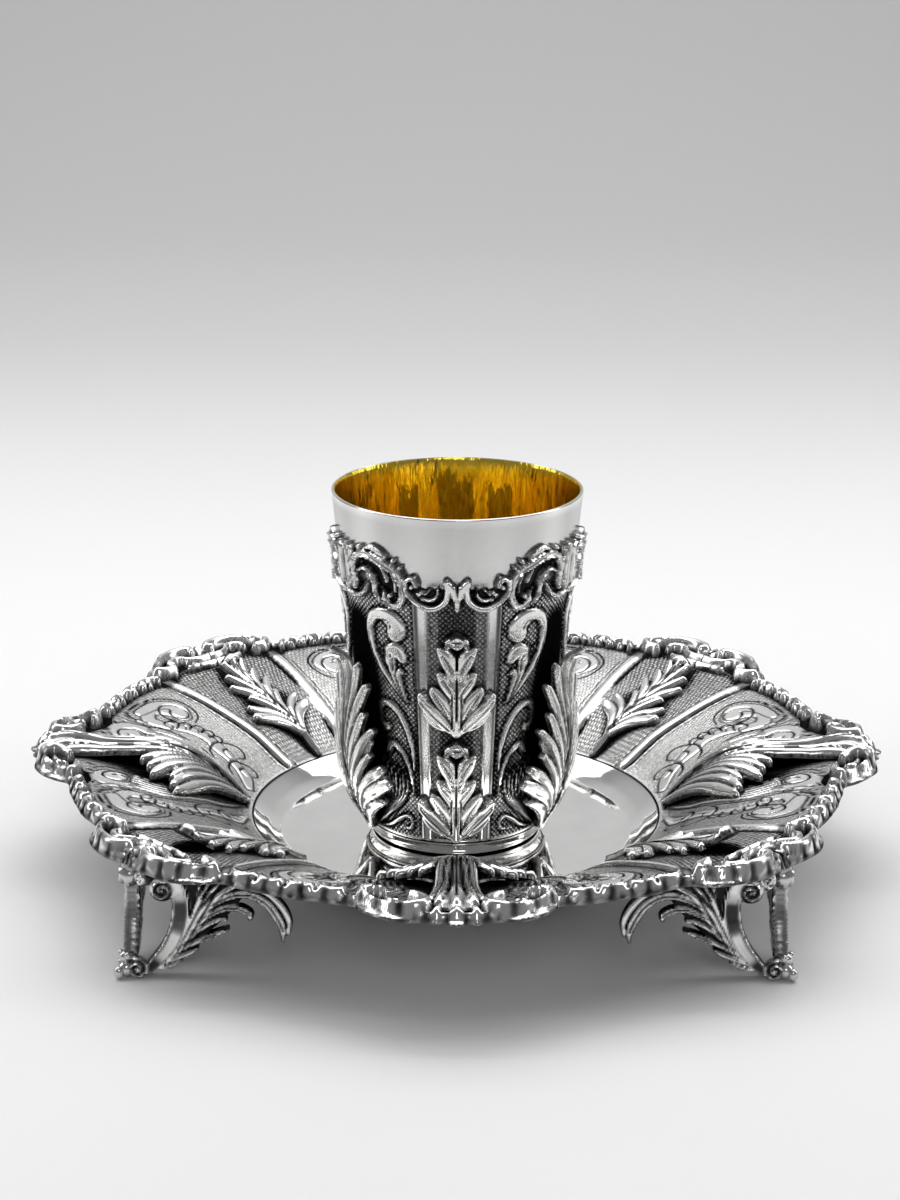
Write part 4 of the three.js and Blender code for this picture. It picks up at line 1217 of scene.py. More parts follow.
# the row of small hooks inside the rib
for cx, cy, s in ((19.9, 74.9, 1.0), (21.6, 72.4, 0.95), (22.7, 69.7, 0.95), (23.0, 67.0, 0.95), (22.6, 64.4, 0.9)):
    d_cut([(cx - 0.9 * s, cy - 1.8 * s, 0.13), (cx + 0.9 * s, cy - 1.3 * s, 0.2), (cx + 1.5 * s, cy + 0.3 * s, 0.2), (cx + 0.3 * s, cy + 1.5 * s, 0.2), (cx - 1.2 * s, cy + 1.4 * s, 0.16)], 0.36)
    d_cut([(cx - 1.6 * s, cy - 1.2 * s, 0.12), (cx - 0.4 * s, cy - 0.4 * s, 0.16), (cx - 0.6 * s, cy + 0.8 * s, 0.12)], 0.28)
# two larger curls further in
for cx, cy, s in ((19.8, 59.9, 1.0), (16.6, 54.4, 0.86)):
    d_cut([(cx - 4.8 * s, cy + 1.5 * s, 0.16), (cx - 2.6 * s, cy + 3.4 * s, 0.22), (cx + 1.2 * s, cy + 3.7 * s, 0.24), (cx + 4.0 * s, cy + 1.2 * s, 0.24), (cx + 4.4 * s, cy - 1.8 * s, 0.22), (cx + 2.6 * s, cy - 3.4 * s, 0.18), (cx + 0.8 * s, cy - 2.6 * s, 0.14)], 0.38)
    d_cut([(cx - 1.8 * s, cy - 1.4 * s, 0.14), (cx - 0.6 * s, cy + 0.9 * s, 0.2), (cx + 1.4 * s, cy + 0.6 * s, 0.24)], 0.36)
# short strokes beside the spirals
for k in range(5):
    u = k / 4
    d_cut([(20.6 + 1.9 * u, 74.6 + 0.3 * u, 0.12), (20.2 + 2.0 * u, 76.4 + 0.3 * u, 0.14)], 0.24, 0.6)
    d_cut([(8.4 + 1.6 * u, 76.6 - 0.2 * u, 0.12), (8.0 + 1.8 * u, 78.0 - 0.1 * u, 0.12)], 0.24, 0.6)
# small spray at the end, under the tip of the leaf
d_cut([(1.2, 86.2, 0.16), (3.4, 84.6, 0.2), (4.6, 81.4, 0.18), (4.2, 78.4, 0.14)], 0.3)
d_cut([(3.2, 88.0, 0.16), (5.2, 87.4, 0.18), (6.0, 85.4, 0.14)], 0.3)
# ribs: rounded bands with a fine line each side
ribprof = np.clip(1 - ((FA - RIB) * KD * true / 1.55) ** 2, 0, 1)
ribend = np.clip((FR - 48.6) / 1.0, 0, 1) * np.clip((90.5 - FR) / 2.5, 0, 1)
F.h = np.maximum(F.h, 0.95 * np.sqrt(ribprof) * ribend)
k = np.clip(ribprof * 6, 0, 1) * ribend
F.mat *= 1 - k
F.ox *= 1 - k
for off, dep, o in ((-1.75, 0.4, 0.85), (1.75, 0.45, 0.95), (-2.9, 0.22, 0.5)):
    dd = ((FA - RIB) * KD * true - off) / 0.2
    g = np.exp(-dd * dd) * ribend
    F.h -= dep * g
    F.ox = np.maximum(F.ox, o * g)
g2 = np.exp(-(((FA - RIB) * KD * true - 0.95) / 0.13) ** 2) * ribend
F.h -= 0.16 * g2
# shade where the leaves stand over the ground
under_big = np.clip(1.25 - np.abs(FA) * KD * true / np.interp(FR, [49, 58, 66, 74, 80, 90, 98], [1.5, 7.5, 12.5, 14.5, 8, 5.5, 7]), 0, 1) * (FR > 50)
F.ox = np.maximum(F.ox, np.clip(under_big * 1.6, 0, 0.92))
under_small = np.clip(1.3 - np.abs(FA - 45) * KD * true / np.interp(FR, [47, 55, 60, 66, 72, 82, 86], [0.8, 2.4, 5.5, 8.0, 6.0, 4.6, 2.0]), 0, 1) * (FR > 48) * (FR < 88)
F.ox = np.maximum(F.ox, np.clip(under_small * 1.5, 0, 0.85))
b = blur(F.h, 0.55 / F.px)
F.ox = np.clip(np.maximum(F.ox, (b - F.h) / 0.24), 0, 1)
# the ground darkens against the border
F.ox = np.maximum(F.ox, 0.65 * np.clip((FR - (outline(FA + 0 * FR) - np.interp(FA, [0, 10, 14, 31, 34, 45], [11.5, 9, 5.4, 5.4, 10, 11]))) / 1.2, 0, 1))


def flare(name, a0):
    """A quadrant from rib to rib; its columns crowd where the engraving is."""
    parts_ = []
    for lo, hi, stepd in ((0, 11.4, 0.62), (11.4, 78.6, 0.262), (78.6, 90, 0.62)):
        k = max(2, int(round((hi - lo) / stepd)))
        parts_.append(np.linspace(lo, hi, k + 1)[:-1])
    a = a0 + np.concatenate(parts_ + [[90.0]])
    edge = outline(a) - 1.6
    t = np.concatenate([[0, 0.012], np.linspace(0.03, 0.86, 110), np.linspace(0.87, 1, 9)])
    m = len(t)
    R = 48.75 + (edge[:, None] - 48.75) * t[None, :]
    # the engraved part keeps the same rows for every column
    Rf = 48.75 + (90.4 - 48.75) * t[None, :]
    k = np.clip((t - 0.86) / 0.14, 0, 1)[None, :]
    R = Rf * (1 - k) + R * k
    Am = np.repeat(a[:, None], m, 1)
    X = fold(Am, 4) * KD
    rel = F.field(F.h, X, R)
    rel[:, 0] = -0.05
    slope = np.gradient(_dz, _dx)
    sl = np.interp(R, _dx, slope)
    nl = np.hypot(1, sl)
    top = polar(R - rel * sl / nl, Am, dishZ(R) + rel / nl)
    k = 10
    tb = np.linspace(0, 1, k)
    Rb = 48.75 + (edge[:, None] - 48.75) * tb[None, :]
    Ab = np.repeat(a[:, None], k, 1)
    sb = np.interp(Rb, _dx, slope)
    nb = np.hypot(1, sb)
    bot = polar(Rb + SHEET * sb / nb * 0.9, Ab, dishZ(Rb) - SHEET / nb)
    bot[:, 0] = polar(48.75 + 0 * a, a, 9.9)
    bot[:, -1] = polar(edge, a, dishZ(edge) - SHEET)
    at = {"ox": F.field(F.ox, X, R), "mat": F.field(F.mat, X, R), "hat": F.field(F.hat, X, R),
          "pc": np.stack([fold(Am, 4) * KD * 1.25, R * 0.5, 0 * R], -1)}
    return hybrid_shell(name, top, bot, False, at, sharp=60, back={"ox": 0.12})


for k in range(4):
    finish_piece(flare(f"dish_flare_{k + 1}", -45.0 + 90 * k), M_CHASED, None)


# ---------------------------------------------------------------- big leaves over the flare
def flare_leaf_relief():
    R = Relief(-18.5, 18.5, -0.6, 55, 0.13, -0.05)
    # the sheet of the leaf
    R.up([(0, 0.6, 1.0), (0, 8, 3.0), (0, 14, 5.4), (0, 20, 6.4), (0, 27, 4.6), (0, 33, 3.6), (0, 40, 3.6), (0, 46, 4.6), (0, 49.5, 4.0)], 0.3, p_soft)
    for m in ([(1.2, 4.0, 1.0), (5.6, 11.0, 2.4), (10.4, 15.8, 3.0), (13.2, 17.8, 2.6)], [(1.0, 9.0, 1.2), (4.4, 17.4, 2.6), (8.0, 22.6, 2.8), (10.4, 24.6, 2.0)]):
        R.up(m, 0.3, p_soft)
        R.up(mirrored(m), 0.3, p_soft)
    strands(R, [
        [(0.9, 0.8, 0.5), (3.0, 5.4, 1.0), (7.0, 10.8, 1.4), (11.6, 14.8, 1.8), (14.9, 17.2, 1.6), (16.4, 18.4, 0.9)],
        [(0.8, 1.2, 0.5), (2.8, 7.2, 0.95), (6.2, 13.2, 1.3), (10.4, 17.4, 1.7), (13.8, 19.6, 1.3)],
        [(0.7, 1.8, 0.45), (2.5, 8.8, 0.9), (5.4, 15.2, 1.25), (8.8, 19.0, 1.4), (11.2, 20.6, 0.9)],
        [(0.7, 2.6, 0.45), (2.3, 10.2, 0.85), (4.8, 17.0, 1.2), (8.2, 22.2, 1.6), (11.2, 24.9, 1.4), (12.4, 25.8, 0.8)],
        [(0.6, 3.6, 0.4), (2.0, 11.8, 0.8), (4.2, 18.8, 1.1), (7.0, 24.2, 1.35), (9.6, 26.9, 1.0)],
        [(0.6, 5.0, 0.4), (1.8, 13.5, 0.8), (3.5, 20.5, 1.05), (5.7, 26.2, 1.3), (7.4, 29.0, 0.8)],
        [(0.5, 7.0, 0.4), (1.5, 16.0, 0.75), (2.6, 23.0, 0.9), (3.4, 30.0, 1.0), (3.7, 37.0, 1.0), (4.3, 43.0, 1.15), (5.7, 47.6, 0.95)],
        [(0.4, 9.0, 0.4), (1.1, 20.0, 0.7), (1.9, 29.0, 0.85), (2.2, 38.0, 0.95), (2.9, 45.0, 1.1), (3.9, 49.9, 0.9)],
    ], 1.1, 0.34, 0.95)
    R.up([(0, 0.3, 0.9), (0, 16, 0.8), (0, 30, 1.0), (0, 42, 1.3), (0, 48, 1.7), (0, 51.4, 1.5)], 1.35, p_soft)
    R.cut([(0, 14, 0.14), (0, 32, 0.2), (0, 45, 0.26), (0, 50, 0.2)], 0.55, ox=0.9)
    R.h = np.maximum(R.h, -0.05)
    R.oxidise(0.55, 0.36)
    return R


FLR = flare_leaf_relief()
line_f, len_f = along([(49.8, 12.2), (53.0, 15.6), (57.5, 20.0), (62.5, 23.7), (67.0, 25.7), (71.0, 26.7), (75.0, 27.0), (79.0, 27.0), (84.0, 27.3), (89.0, 28.3), (93.0, 29.0), (96.0, 29.2)])


def flare_leaf_place(x, y, h):
    p, d = line_f(y)
    ax = np.abs(x)
    sag = 3.7 * np.clip(ax / 14, 0, 1.25) ** 1.7 - 1.1 * np.clip((ax - 11.0) / 4.5, 0, 1.2) ** 1.5 * (y < 34)
    sag = sag + 1.1 * np.clip((y - 36) / 8, 0, 1) * np.clip(ax / 6, 0, 1.2) ** 2
    sag = sag + 0.8 * np.clip((y - 46) / 5, 0, 1) ** 2
    nr, nz = -d[..., 1], d[..., 0]
    r = p[..., 0] + nr * (h - sag)
    z = p[..., 1] + nz * (h - sag)
    q = np.hypot(r, x)
    z = np.maximum(z, np.where(q < 90, dishZ(q) + 0.35, 0))
    return np.stack([x, -r, z], -1)


ob = relief_body("dish_big_leaf_v1", FLR, flare_leaf_place, step=0.44, back=0.75)
for k in range(4):
    o = ob if k == 0 else copy_turned(ob, f"dish_big_leaf_v{k + 1}", 90 * k)
    finish_piece(o, M_LEAF, f"dish_big_leaf_{k + 1}")


def small_leaf_relief():
    R = Relief(-10.5, 10.5, -0.6, 43, 0.12, -0.05)
    R.up([(0, 9.0, 0.8), (0, 14.0, 2.4), (0, 18.0, 3.2), (0, 22.0, 2.4), (0, 27.0, 2.8), (0, 32.0, 2.6), (0, 36.0, 1.8)], 0.3, p_soft)
    strands(R, [
        [(0.4, 6.6, 0.5), (1.9, 10.6, 1.05), (4.2, 13.8, 1.6), (6.6, 15.6, 1.7), (8.3, 16.2, 1.2)],
        [(0.4, 8.6, 0.5), (1.8, 13.4, 1.0), (4.0, 17.0, 1.45), (6.2, 19.2, 1.4), (7.4, 20.0, 0.9)],
        [(0.4, 11.5, 0.45), (1.3, 17.4, 0.85), (2.7, 21.2, 1.05), (4.2, 23.6, 0.8)],
        [(0.4, 15.6, 0.45), (1.4, 21.6, 0.9), (3.0, 25.6, 1.3), (4.9, 28.4, 1.15), (5.7, 29.4, 0.75)],
        [(0.3, 20.0, 0.45), (1.2, 26.6, 0.9), (2.6, 30.6, 1.15), (4.1, 33.2, 0.9)],
        [(0.3, 26.0, 0.45), (1.0, 31.6, 0.85), (1.9, 35.0, 1.0), (2.8, 37.2, 0.85)],
    ], 1.1, 0.32, 0.95)
    R.up([(0, 0, 0.8), (0, 8, 0.85), (0, 18, 1.0), (0, 28, 1.1), (0, 34, 1.5), (0, 38.0, 1.6)], 1.35, p_soft)
    R.up([(-1.6, 38.0, 1.0), (0, 38.6, 1.05), (1.6, 38.0, 1.0)], 1.7)
    R.cut([(0, 12, 0.14), (0, 26, 0.2), (0, 36, 0.22)], 0.5, ox=0.9)
    R.h = np.maximum(R.h, -0.05)
    R.oxidise(0.45, 0.36)
    return R


SLR = small_leaf_relief()
line_s, len_s = along([(48.9, 11.9), (51.5, 13.4), (56.0, 16.4), (61.0, 18.9), (66.5, 20.9), (72.0, 22.9), (77.0, 24.7), (81.0, 27.0), (83.6, 29.4)])


def small_leaf_place(x, y, h):
    p, d = line_s(y)
    ax = np.abs(x)
    sag = 0.8 * np.clip(ax / 7, 0, 1) ** 2 - 1.0 * np.clip((ax - 4.5) / 3.5, 0, 1) ** 1.5
    nr, nz = -d[..., 1], d[..., 0]
    r = p[..., 0] + nr * (h - sag)
    z = p[..., 1] + nz * (h - sag)
    z = np.maximum(z, dishZ(np.hypot(r, x)) + 0.3)
    return np.stack([x, -r, z], -1)


ob = relief_body("dish_small_leaf_v", SLR, small_leaf_place, step=0.40, back=0.65)
for k in range(4):
    o = copy_turned(ob, f"dish_small_leaf_v{k + 1}", 45 + 90 * k)
    finish_piece(o, M_LEAF, f"dish_small_leaf_{k + 1}")
bpy.data.objects.remove(ob)

# ---------------------------------------------------------------- scroll border of the dish
KE = 1.676


def dish_border_relief():
    R = Relief(-2.5, 45 * KE + 2.5, 84, 103, 0.14, -0.3)
    dome = lambda q, t: np.clip(1 - np.abs(q) ** 2.4, 0, 1) ** 0.5

    def up(rows, H, prof=p_round):
        R.up([(r[0] * KE, *r[1:]) for r in rows], H, prof)

    # the strip that carries the ornament
    a = np.arange(0, 45.1, 1.5)
    wid = np.interp(a, [0, 4, 8, 12, 14, 31, 34, 45], [2.0, 2.6, 3.9, 3.2, 1.9, 1.9, 3.6, 4.2])
    up([(x, float(outline(x)) - w - 0.5, w) for x, w in zip(a, wid)], 0.16, p_flat)
    # a smooth rolled edge all the way round
    up([(x, float(outline(x)) - 0.9, 0.75) for x in a], 1.25, dome)
    # tip lobe: shell on the centre line and a great C-scroll each side
    up([(0, 95.6, 1.0), (0, 97.6, 1.5), (0, 99.6, 1.6)], 2.8, p_ribbed)
    up([(2.0, 96.4, 0.7), (2.4, 98.2, 1.0), (2.4, 99.4, 0.8)], 2.2)
    up([(6.0, 90.8, 0.9), (4.6, 92.4, 1.15), (3.7, 94.6, 1.35), (4.4, 97.0, 1.45), (6.8, 97.8, 1.5), (9.4, 96.0, 1.5), (11.6, 93.2, 1.45), (12.4, 90.6, 1.2), (11.0, 89.0, 1.0), (9.6, 89.6, 0.85)], 3.2, dome)
    up([(6.6, 94.6, 0.7), (8.4, 93.6, 0.95), (9.0, 91.8, 0.8)], 2.0)
    # run of volutes, each rolling into the next
    for c in (16.6, 20.9, 25.2, 29.4):
        e = float(outline(c))
        up([(c + 1.9, e - 4.0, 0.55), (c + 1.7, e - 2.3, 0.9), (c + 0.4, e - 1.2, 1.15), (c - 1.2, e - 1.6, 1.1), (c - 1.5, e - 3.2, 0.85)], 2.4, dome)
        up([(c - 0.1, e - 3.6, 0.7), (c + 0.4, e - 3.0, 0.75)], 1.9)
    # corner: a great scroll with a hollow and a small one inside it
    up([(36.4, 89.8, 1.0), (34.2, 90.6, 1.3), (33.4, 92.8, 1.5), (34.8, 95.4, 1.6), (37.6, 97.4, 1.65), (40.8, 98.0, 1.55), (43.2, 96.6, 1.35), (43.0, 94.6, 1.1)], 3.3, dome)
    up([(37.6, 92.0, 0.8), (38.0, 94.2, 1.05), (40.0, 94.6, 1.0), (41.2, 92.6, 0.95), (43.0, 91.6, 0.95), (45.0, 91.8, 0.95)], 2.4, dome)
    up([(39.4, 89.6, 0.6), (42.0, 89.0, 0.8), (45.0, 88.7, 0.8)], 1.9)
    up([(45, 94.0, 1.0), (45, 96.0, 1.3), (45, 98.0, 1.4)], 2.7, p_ribbed)
    R.h = np.maximum(R.h, -0.3)
    i0 = int(round((0 - R.x0) / R.px))
    i1 = int(round((45 * KE - R.x0) / R.px))
    for f in (R.h, R.d):
        for i in range(i0):
            f[i] = f[2 * i0 - i]
        for i in range(i1 + 1, f.shape[0]):
            f[i] = f[min(2 * i1 - i, f.shape[0] - 1)]
    R.oxidise(0.9, 0.85)
    R.ox = np.clip(R.ox + 0.95 * np.clip((0.75 - R.h) / 0.4, 0, 1) * (R.y[None, :] < outline(R.x / KE)[:, None] - 1.75), 0, 1)
    e_ = outline(R.x / KE)[:, None]
    rim_ = np.clip(1 - np.abs(R.y[None, :] - (e_ - 0.5)) / 1.3, 0, 1) ** 0.5
    ua_ = np.abs(R.x / KE)[:, None]
    val_ = (0.5 - 0.5 * np.cos(ua_ * 2 * np.pi / 2.7 + 0.9 * np.sin(ua_ * 0.5))) ** 1.6
    R.ox = np.maximum(R.ox, 0.85 * rim_ * np.clip((val_ - 0.55) / 0.3, 0, 1))
    return R


DBR = dish_border_relief()


def gadroon(a):
    """Slanting lobes that run round the rolled edge; 1 in the valleys."""
    u = np.abs(fold(np.asarray(a, float) + 0.0, 4))
    return (0.5 - 0.5 * np.cos(u * 2 * np.pi / 2.7 + 0.9 * np.sin(u * 0.5))) ** 1.6


def dish_border_place(x, y, h):
    a = x / KE
    hh = np.asarray(h, float)
    e = outline(a)
    over = np.clip((y - (e - 1.5)) / 0.5, 0, 1)
    hang = 1.25 + 0.12 * np.sin(a * 0.8)
    turn = np.sqrt(np.clip(1 - (1 - np.clip((e - y) / 2.6, 0, 1)) ** 2, 0, 1))
    z = dishZ(y) + np.where(hh < -0.31, -0.02 - hang * over, np.maximum(hh, 0.05) * (0.22 + 0.78 * turn) * (1 - 0.34 * gadroon(a) * (1 - turn)))
    y = y - 0.35 * gadroon(a) * np.clip(1 - (e - y) / 1.2, 0, 1) * (hh > -0.31)
    # ornament at the rim rolls over the edge
    z = z - 0.9 * np.clip((y - (e - 1.6)) / 1.6, 0, 1) ** 2 * (hh > -0.31)
    return polar(y, a, z)


ob = border_sector("dish_border_1", DBR, 4, KE, dish_border_place, 0.44, 0.5)
for k in range(4):
    o = ob if k == 0 else copy_turned(ob, f"dish_border_{k + 1}", 90 * k)
    finish_piece(o, M_CAST, "dish_border")

# ---------------------------------------------------------------- feet
HALF = 99.5 / math.sqrt(2)
USTART = 1.8


def under_dish(u):
    return dishZ(np.hypot(HALF - USTART - u, HALF)) - SHEET - 0.25


def wing_relief():
    R = Relief(-3.5, 34.5, -0.4, 27, 0.1, -0.15)
    dome = lambda q, t: np.clip(1 - np.abs(q) ** 2.2, 0, 1) ** 0.55
    # body of the leaf
    R.up([(4.2, 2.8, 0.8), (8.0, 6.0, 1.5), (12.0, 10.5, 2.4), (15.5, 16.0, 4.2), (17.5, 21.0, 6.0), (18.0, 25.0, 7.0)], 0.05, p_flat)
    F = [
        [(5.2, 2.4, 0.5), (7.4, 2.8, 0.8), (9.6, 3.9, 0.55)],
        [(6.0, 3.6, 0.6), (9.0, 4.8, 0.85), (11.6, 5.8, 0.9), (13.2, 6.8, 0.55)],
        [(7.0, 4.9, 0.6), (10.6, 7.1, 0.85), (14.2, 8.9, 0.95), (17.4, 10.2, 1.0), (19.8, 11.2, 0.6)],
        [(8.2, 6.4, 0.5), (11.6, 9.3, 0.8), (14.8, 11.9, 0.9), (17.6, 13.3, 0.85), (19.6, 13.6, 0.5)],
        [(8.8, 7.4, 0.5), (12.2, 11.2, 0.8), (15.8, 14.4, 0.95), (19.2, 16.1, 1.1), (22.4, 16.0, 1.15), (24.6, 14.8, 1.05), (24.6, 13.6, 0.6)],
        [(9.2, 8.4, 0.5), (12.8, 13.2, 0.8), (16.8, 17.0, 0.95), (20.8, 19.0, 1.1), (24.6, 19.2, 1.2), (28.0, 17.4, 1.3), (30.2, 14.4, 1.35), (31.6, 11.2, 1.1), (31.6, 8.4, 0.4)],
        [(25.4, 20.9, 0.8), (28.8, 19.3, 0.95), (31.6, 16.2, 1.1), (33.0, 12.8, 0.9), (32.8, 10.2, 0.5)],
        [(9.8, 9.6, 0.6), (13.6, 15.0, 0.9), (17.6, 18.8, 1.05), (21.8, 21.4, 1.15), (26.4, 22.6, 1.1)],
        [(10.6, 11.0, 0.6), (14.4, 17.4, 0.9), (18.2, 21.6, 1.1), (22.4, 24.8, 1.1)],
        [(11.4, 12.6, 0.55), (14.4, 19.0, 0.9), (16.8, 23.0, 1.1), (18.6, 26.0, 1.1)],
        [(12.3, 14.4, 0.55), (13.8, 19.6, 0.8), (14.6, 23.4, 0.95), (14.9, 26.2, 1.0)],
    ]
    # ridges stand apart, the furrows between them stay dark
    for f, k_ in zip(F, (0.8, 0.8, 0.74, 0.7, 0.74, 0.8, 0.75, 0.56, 0.5, 0.46, 0.5)):
        R.up([(x, y, w * k_) for x, y, w in f], 0.95, dome)
    low_ = R.h < 0.45
    R.ox = np.where(low_, 0.97, 0.0)
    # the long lobes are hollowed along their length
    for f in (F[2], F[4], F[5]):
        R.cut([(x, y, 0.36) for x, y, w in f[2:-1]], 0.45, ox=0.92)
    # fine furrows run up from the root between the ridges: shallow cuts painted as dark streaks, the tarnish and
    # painted shade of grooves too fine for the mesh
    ang_ = np.degrees(np.arctan2(R.y[None, :] + 8.0, R.x[:, None] - 2.0))
    fur = np.clip(np.cos(np.radians(360 / 2.9) * ang_), 0, 1) ** 1.3
    fur = fur * np.clip((R.y[None, :] - 4.0) / 3, 0, 1) * np.clip((0.60 * R.y[None, :] + 8.4 - R.x[:, None]) / 2.0, 0, 1) * (R.h > 0.3)
    R.h = R.h - 0.34 * fur
    R.ox = np.maximum(R.ox, np.clip(1.15 * fur, 0, 0.95))
    # the recess between leaf and band, filled with a low plate painted near black as shade
    R.up([(3.2, 2.6, 0.6), (6.2, 4.4, 1.0), (9.4, 8.4, 1.3), (11.2, 12.4, 1.5), (12.0, 17.0, 1.5), (12.0, 21.0, 1.6), (11.4, 25.0, 1.8)], 0.0, p_flat, -0.1)
    # the band, rolled at its upper end
    band = [(0.8, 1.1, 0.7), (2.6, 2.0, 1.0), (4.9, 4.2, 1.5), (7.4, 7.4, 1.8), (9.1, 11.2, 1.9), (9.9, 15.2, 1.95), (9.8, 18.6, 1.8), (9.2, 21.4, 1.5), (7.8, 22.8, 1.0)]
    def edged(q, t):
        return np.clip((1 - np.abs(q)) / 0.14, 0, 1) ** 0.6 * (0.62 + 0.38 * np.clip((np.abs(q) - 0.62) / 0.2, 0, 1))
    L = cr(band)
    got = R.near(L[:, :2], L[:, 2])
    sl_, dist_, wl_, side_, t_ = got
    q_ = dist_ / wl_
    on = q_ < 1
    val = np.where(on, 1.0 * edged(np.clip(q_, 0, 1), t_), -9)
    R.h[sl_] = np.maximum(R.h[sl_], val)
    R.d[sl_] = np.maximum(R.d[sl_], wl_ - dist_)
    patch_ = np.clip(0.5 + 0.95 * np.sin(t_ * 13.0 - 0.25) + 0.25 * np.sin(t_ * 41.0), 0, 1)
    R.ox[sl_] = np.where(on, np.clip((0.74 - q_) / 0.16, 0, 1) * (0.08 + 0.74 * patch_), R.ox[sl_])
    R.ox[sl_] = np.maximum(R.ox[sl_], 0.85 * np.exp(-((q_ - 0.66) / 0.07) ** 2))
    # top volute, a spiral on a round
    R.up([(6.0, 20.3, 2.75), (6.05, 20.3, 2.75)], 0.75, p_flat)
    sp = spiral(6.0, 20.3, 2.3, 0.7, 70, 1.35, 30)
    R.up([(x, y, w) for (x, y), w in zip(sp, np.linspace(0.44, 0.34, len(sp)))], 1.5, dome)
    R.ball(6.0, 20.3, 0.5, 1.5)
    disc = np.hypot(R.x[:, None] - 6.0, R.y[None, :] - 20.3)
    R.ox = np.where(disc < 2.35, np.clip((1.15 - R.h) / 0.3, 0, 1) * 0.97, np.where(disc < 3.0, 0.15, R.ox))
    R.up([(8.6, 22.0, 1.4), (9.0, 24.4, 1.6), (9.4, 26.0, 1.6)], 0.7, p_flat)
    # toe volute
    R.up([(0.2, 2.3, 2.2), (0.25, 2.3, 2.2)], 0.8, p_flat)
    sp = spiral(0.2, 2.3, 1.8, 0.6, -40, -1.15, 24)
    R.up([(x, y, w) for (x, y), w in zip(sp, np.linspace(0.44, 0.34, len(sp)))], 1.55, dome)
    R.ball(0.2, 2.3, 0.5, 1.55)
    disc = np.hypot(R.x[:, None] - 0.2, R.y[None, :] - 2.3)
    R.ox = np.where(disc < 1.85, np.clip((1.2 - R.h) / 0.3, 0, 1) * 0.95, np.where(disc < 2.5, 0.15, R.ox))
    R.h = np.maximum(R.h, -0.15)
    lim = under_dish(R.x)[:, None] - R.y[None, :]
    R.d = np.minimum(R.d, lim)
    R.ox = blur(R.ox, 1.2)
    return R


WNG = wing_relief()
WG = 0.7          # half of the wing's body thickness


def wing_place_x(x, y, h):
    # the plane stands across y; its inner side lies towards +y
    side = np.where(np.asarray(h) > -WG, -1.0, 1.0) + 0 * x
    t = np.where(np.asarray(h) > -WG, h + WG, -(h + WG))
    return np.stack([HALF - USTART - x, -HALF + side * t + 0 * x, np.maximum(y, 0) + 0 * x], -1)


def wing_place_y(x, y, h):
    side = np.where(np.asarray(h) > -WG, 1.0, -1.0) + 0 * x
    t = np.where(np.asarray(h) > -WG, h + WG, -(h + WG))
    return np.stack([HALF + side * t + 0 * x, -HALF + USTART + x, np.maximum(y, 0) + 0 * x], -1)


def ball_mesh(name, items):
    """Small round beads, each closed."""
    V, Q, T = [], [], []
    nu, nv = 14, 8
    for (cx, cy, cz, rx, rz) in items:
        b = len(V)
        V.append((cx, cy, cz + rz))
        for j in range(1, nv):
            ph = math.pi * j / nv
            for i in range(nu):
                th = 2 * math.pi * i / nu
                V.append((cx + rx * math.sin(ph) * math.cos(th), cy + rx * math.sin(ph) * math.sin(th), max(cz + rz * math.cos(ph), 0.0)))
        V.append((cx, cy, max(cz - rz, 0.0)))
        e = len(V) - 1
        for i in range(nu):
            k = (i + 1) % nu
            T.append((b, b + 1 + i, b + 1 + k))
            T.append((e, b + 1 + (nv - 2) * nu + k, b + 1 + (nv - 2) * nu + i))
            for j in range(nv - 2):
                p0, p1 = b + 1 + j * nu, b + 1 + (j + 1) * nu
                Q.append((p0 + i, p1 + i, p1 + k, p0 + k))
    V = np.array(V, float)
    return build(name, V, quads=np.array(Q), tris=np.array(T), attrs={"ox": np.full(len(V), 0.12), "mat": np.zeros(len(V)), "pc": V * 1.0}, sharp=80)


def toe_volute_relief():
    R = Relief(-3.2, 3.2, -3.2, 3.2, 0.08, 0.0)
    sp = spiral(0, 0, 1.75, 0.5, 90, -1.6, 22)
    R.up([(0, 0, 2.1), (0.02, 0, 2.1)], 0.35, p_flat)
    R.up([(x, y, w) for (x, y), w in zip(sp, np.linspace(0.5, 0.3, len(sp)))], 0.9, p_round)
    R.ball(0, 0, 0.5, 1.1)
    R.oxidise(0.3, 0.3)
    return R


TVR = toe_volute_relief()


def volute_place(c, ax):
    """A small volute standing in the plane square to direction ax."""
    ax = np.array(ax, float)
    ax /= np.linalg.norm(ax)
    e = np.cross([0, 0, 1.0], ax)
    e /= np.linalg.norm(e)

    def f(x, y, h):
        side = np.where(np.asarray(h) > -0.9, 1.0, -1.0) + 0 * x
        t = np.where(np.asarray(h) > -0.9, h + 0.9, -(h + 0.9))
        p = np.array(c)[None, :] + x[:, None] * e[None, :] + (side * t)[:, None] * ax[None, :]
        p[:, 2] += y
        p[:, 2] = np.maximum(p[:, 2], 0)
        return p
    return f


d = math.sqrt(0.5)
parts = [
    relief_body("foot_wing_a", WNG, wing_place_x, 0.385, 2 * WG, both=True),
    relief_body("foot_wing_b", WNG, wing_place_y, 0.385, 2 * WG, both=True),
    relief_body("foot_scroll_a", TVR, volute_place((HALF - 4.4, -HALF + 3.6, 21.2), (0.75, -1, 0)), 0.34, 1.8, both=True),
    ball_mesh("foot_beads", [
        (HALF + 0.5 * d, -HALF - 0.5 * d, 1.9, 1.9, 1.9),
        (HALF + 2.5 * d, -HALF - 2.5 * d, 1.5, 1.15, 1.5),
        (HALF + 0.6, -HALF - 0.6, 4.7, 1.25, 1.3),
        (HALF + 1.5, -HALF + 0.2, 5.2, 0.75, 0.9),
        (HALF - 0.2, -HALF - 1.5, 5.2, 0.75, 0.9),
    ]),
]
for p_ in parts:
    stem = p_.name
    for k in range(4):
        o = p_ if k == 0 else copy_turned(p_, f"{stem}_{k + 1}", 90 * k)
        finish_piece(o, M_CAST, f"foot_{k + 1}")
    p_.name = stem + "_1"

